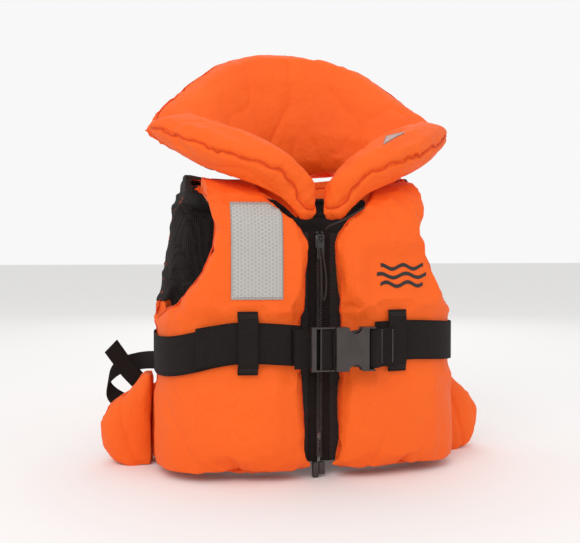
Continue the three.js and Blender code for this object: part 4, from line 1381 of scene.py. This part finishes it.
# ---------------------------------------------------------------- patches, label and lanyard
@dataclass
class Trim:
    """The reflective patches, the printed emblem, the size label and the lanyard."""

    pads: dict[str, FoamPad]
    lift: float = 0.5 * MM
    thickness: float = 0.5 * MM

    def build(self) -> None:
        """Makes and lays every trim piece."""
        self.chest_patch()
        self.collar_patch()
        self.emblem()
        self.label()
        self.lanyard()

    def patch(self, name: str, corners: Sequence[Vector], towards: Vector, pad: FoamPad) -> bpy.types.Object:
        """A piece of tape laid on a pad.

        Args:
            name: the piece's name.
            corners: its lower right, lower left, upper left and upper right corners.
            towards: the direction in which it is pressed on.
            pad: what it is sewn to.

        Returns:
            The patch.
        """
        bm = bmesh.new()
        made = bmesh.ops.create_grid(bm, x_segments=22, y_segments=30, size=0.5, calc_uvs=False)
        layer = bm.loops.layers.uv.new("strap")
        a, b, c, d = corners
        width, height = (b - a).length, (d - a).length
        shares = {v: (v.co.x + 0.5, v.co.y + 0.5) for v in made["verts"]}
        for face in bm.faces:
            for loop in face.loops:
                s, t = shares[loop.vert]
                loop[layer].uv = (s * width, t * height)
        for vert, (s, t) in shares.items():
            flat = a.lerp(b, s).lerp(d.lerp(c, s), t)
            vert.co = on_surface(pad.surface, flat, towards, self.lift)
        relax(bm, bm.verts, 0.4)
        bmesh.ops.recalc_face_normals(bm, faces=bm.faces)
        if sum((f.normal for f in bm.faces), Vector()).dot(towards) > 0:
            bmesh.ops.reverse_faces(bm, faces=bm.faces)
        piece = finished(name, bm, TAPE)
        solid = piece.modifiers.new("tape", "SOLIDIFY")
        solid.thickness = self.thickness
        solid.offset = 1
        apply_modifiers(piece)
        return piece

    def edge_stitches(self, name: str, corners: Sequence[Vector], towards: Vector, surface: BVHTree,
                      body: str, side: Side | None) -> None:
        """A row of stitches just inside a patch's edge.

        Args:
            name: the row's name.
            corners: the patch's corners.
            towards: the direction in which the patch is pressed on.
            surface: the patch.
            body: what it rides on.
            side: the front's side, or None.
        """
        middle = sum(corners, Vector()) / 4
        inside = [middle + (c - middle) * 0.95 for c in corners]
        line = [inside[i].lerp(inside[(i + 1) % 4], step / 30) for i in range(4) for step in range(30)]
        laid = [on_surface(surface, p, towards, 0.05 * MM) for p in [*line, line[0]]]
        row = stitches(name, laid, 2.6 * MM, 0.7 * MM, PALE_THREAD, lambda p: -towards)
        attach(row, body, side)

    def chest_patch(self) -> None:
        """The hexagon tape on the right front."""
        low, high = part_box("chest_patch")
        y = low.y
        corners = [Vector((low.x, y, low.z)), Vector((high.x, y, low.z)), Vector((high.x, y, high.z)),
                   Vector((low.x, y, high.z))]
        towards = Vector((0, 1, 0))
        piece = self.patch("chest_hexagon_patch", corners, towards, self.pads["front_right_pad"])
        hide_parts("chest_patch")
        self.edge_stitches("chest_patch_stitches", corners, towards, surface_of(piece), "front_right", None)
        attach(piece, "front_right", None)

    def collar_patch(self) -> None:
        """The tape on the left wing."""
        bm = cad_mesh("collar_patch")
        points = [v.co.copy() for v in bm.verts]
        bm.free()
        corners = [max(points, key=lambda p: p.x * sx + p.y * sy)
                   for sx, sy in ((-1, -1), (1, -1), (1, 1), (-1, 1))]
        towards = Vector((0, 0.42, -0.9)).normalized()
        piece = self.patch("collar_reflective_patch", corners, towards, self.pads["collar_left_pad"])
        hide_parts("collar_patch")
        self.edge_stitches("collar_patch_stitches", corners, towards, surface_of(piece), "front_left",
                           Side.LEFT)
        attach(piece, "front_left", Side.LEFT)

    def emblem(self) -> None:
        """Three plain waves printed on the left front."""
        low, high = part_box("chest_emblem")
        surface = self.pads["front_left_pad"].surface
        rows = 3
        gap = (high.z - low.z) / rows
        for row in range(rows):
            level = low.z + (row + 0.5) * gap
            inset = 4 * MM * abs(row - 1)
            rail = []
            for step in range(49):
                share = step / 48
                x = low.x + inset + (high.x - low.x - 2 * inset) * share
                z = level + gap * 0.24 * math.sin(4 * math.pi * share + row * 0.7)
                rail.append(on_surface(surface, Vector((x, low.y, z)), Vector((0, 1, 0)), 0.35 * MM))
            piece = ribbon(f"emblem_wave_{row + 1}", rail, lambda t: UP, gap * 0.42,
                           self.thickness, PRINT)
            if row == 0:
                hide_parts("chest_emblem")
            attach(piece, "front_left", None)

    def label(self) -> None:
        """The size label, bowed a little at its middle."""
        low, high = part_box("size_label")
        y = (low.y + high.y) / 2
        x = (low.x + high.x) / 2
        path = [(y + 0.1 * MM, high.z), (y - 0.6 * MM, (low.z + high.z) / 2), (y, low.z)]
        rail = smooth_path([Vector((x, py, pz)) for py, pz in path], 1 * MM)
        piece = ribbon("size_label_ribbon", rail, lambda t: LEFTWARDS, high.x - low.x, 0.4 * MM, LABEL)
        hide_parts("size_label")
        attach(piece, "root", None)

    def lanyard(self) -> None:
        """The cord from the left tape's top to under the left wing."""
        route = [
            (5.6, -79.5, 250), (6, -81.5, 251.2), (6.8, -83.7, 252.3), (8, -85.7, 253.4), (9.8, -87.5, 254.5),
            (12, -89.3, 255.6), (14.8, -91.1, 256.9), (17.9, -92.7, 258.3), (21, -93.3, 259.8),
            (24.4, -93.8, 261.5), (28, -93.8, 263.6), (32, -93.6, 265.9), (36, -93.3, 268.2),
            (39.5, -92.9, 270.4), (42, -92.4, 272),
        ]
        points = [Vector(p) * MM for p in route]
        rail = smooth_path(points, 1 * MM)
        piece = tube("lanyard_braid", rail, 1 * MM, BRAID, 12)
        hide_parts("lanyard")
        attach(piece, "front_left", None)


# ---------------------------------------------------------------- studio
@dataclass
class Studio:
    """The camera, the soft lights and the pale floor."""

    azimuth: float = -12
    elevation: float = 1.5
    distance: float = 0.95
    aim: tuple[float, float, float] = (-0.013, 0.0051, 0.206)
    lens: float = 53.9
    sensor: float = 36

    def build(self) -> None:
        """Sets up the whole studio."""
        self.camera()
        self.lights()
        self.floor()
        self.world()

    def camera(self) -> None:
        """A camera in front of the jacket, a little to the wearer's right."""
        turn, tilt = math.radians(self.azimuth), math.radians(self.elevation)
        aim = Vector(self.aim)
        away = Vector((math.sin(turn) * math.cos(tilt), -math.cos(turn) * math.cos(tilt), math.sin(tilt)))
        data = bpy.data.cameras.new("camera")
        data.lens = self.lens
        data.sensor_width = self.sensor
        camera = bpy.data.objects.new("camera", data)
        camera.location = aim + away * self.distance
        camera.rotation_euler = (-away).to_track_quat("-Z", "Y").to_euler()
        bpy.context.scene.collection.objects.link(camera)
        bpy.context.scene.camera = camera

    def lights(self) -> None:
        """A broad key from the upper left, a fill from the right and a light over the collar."""
        setups = [("key", (-0.9, -1.5, 1.5), 1.3, 13), ("fill", (1.4, -1.2, 0.7), 1.4, 2),
                  ("top", (0.1, 0.4, 1.9), 1.2, 3), ("behind", (0.4, 1.6, 1.0), 1.2, 3)]
        for name, place, size, power in setups:
            data = bpy.data.lights.new(f"{name}_light", "AREA")
            data.energy = power
            data.size = size
            light = bpy.data.objects.new(f"{name}_light", data)
            light.location = place
            light.rotation_euler = (Vector((0, 0, 0.22)) - Vector(place)).to_track_quat("-Z", "Y").to_euler()
            bpy.context.scene.collection.objects.link(light)

    def floor(self) -> None:
        """A wide floor."""
        bm = bmesh.new()
        bmesh.ops.create_grid(bm, x_segments=2, y_segments=2, size=12)
        floor = finished("studio_floor", bm, PLAIN_FLOOR, smooth=False)

    def world(self) -> None:
        """Even white surroundings."""
        world = bpy.data.worlds.new("studio")
        world.use_nodes = True
        background = world.node_tree.nodes["Background"]
        background.inputs["Color"].default_value = linear("ffffff")
        seen = add_node(world.node_tree, "LightPath").outputs["Is Camera Ray"]
        strength = combine(world.node_tree, "ADD", combine(world.node_tree, "MULTIPLY", seen, 0.18), 0.76)
        world.node_tree.links.new(strength, background.inputs["Strength"])
        bpy.context.scene.world = world
        bpy.context.scene.view_settings.view_transform = "Standard"


def main() -> None:
    """Builds the jacket's looks from the studio inwards."""
    logging.basicConfig(level=logging.INFO, format="%(message)s")
    Studio().build()
    pads = FoamWork().build()
    HipGusset().build()
    NeckBinding().build()
    WaistBelt().build()
    HipStraps().build()
    ReleaseBuckle().build()
    FrontZip().build()
    Trim(pads).build()


if __name__ == "__main__":
    main()
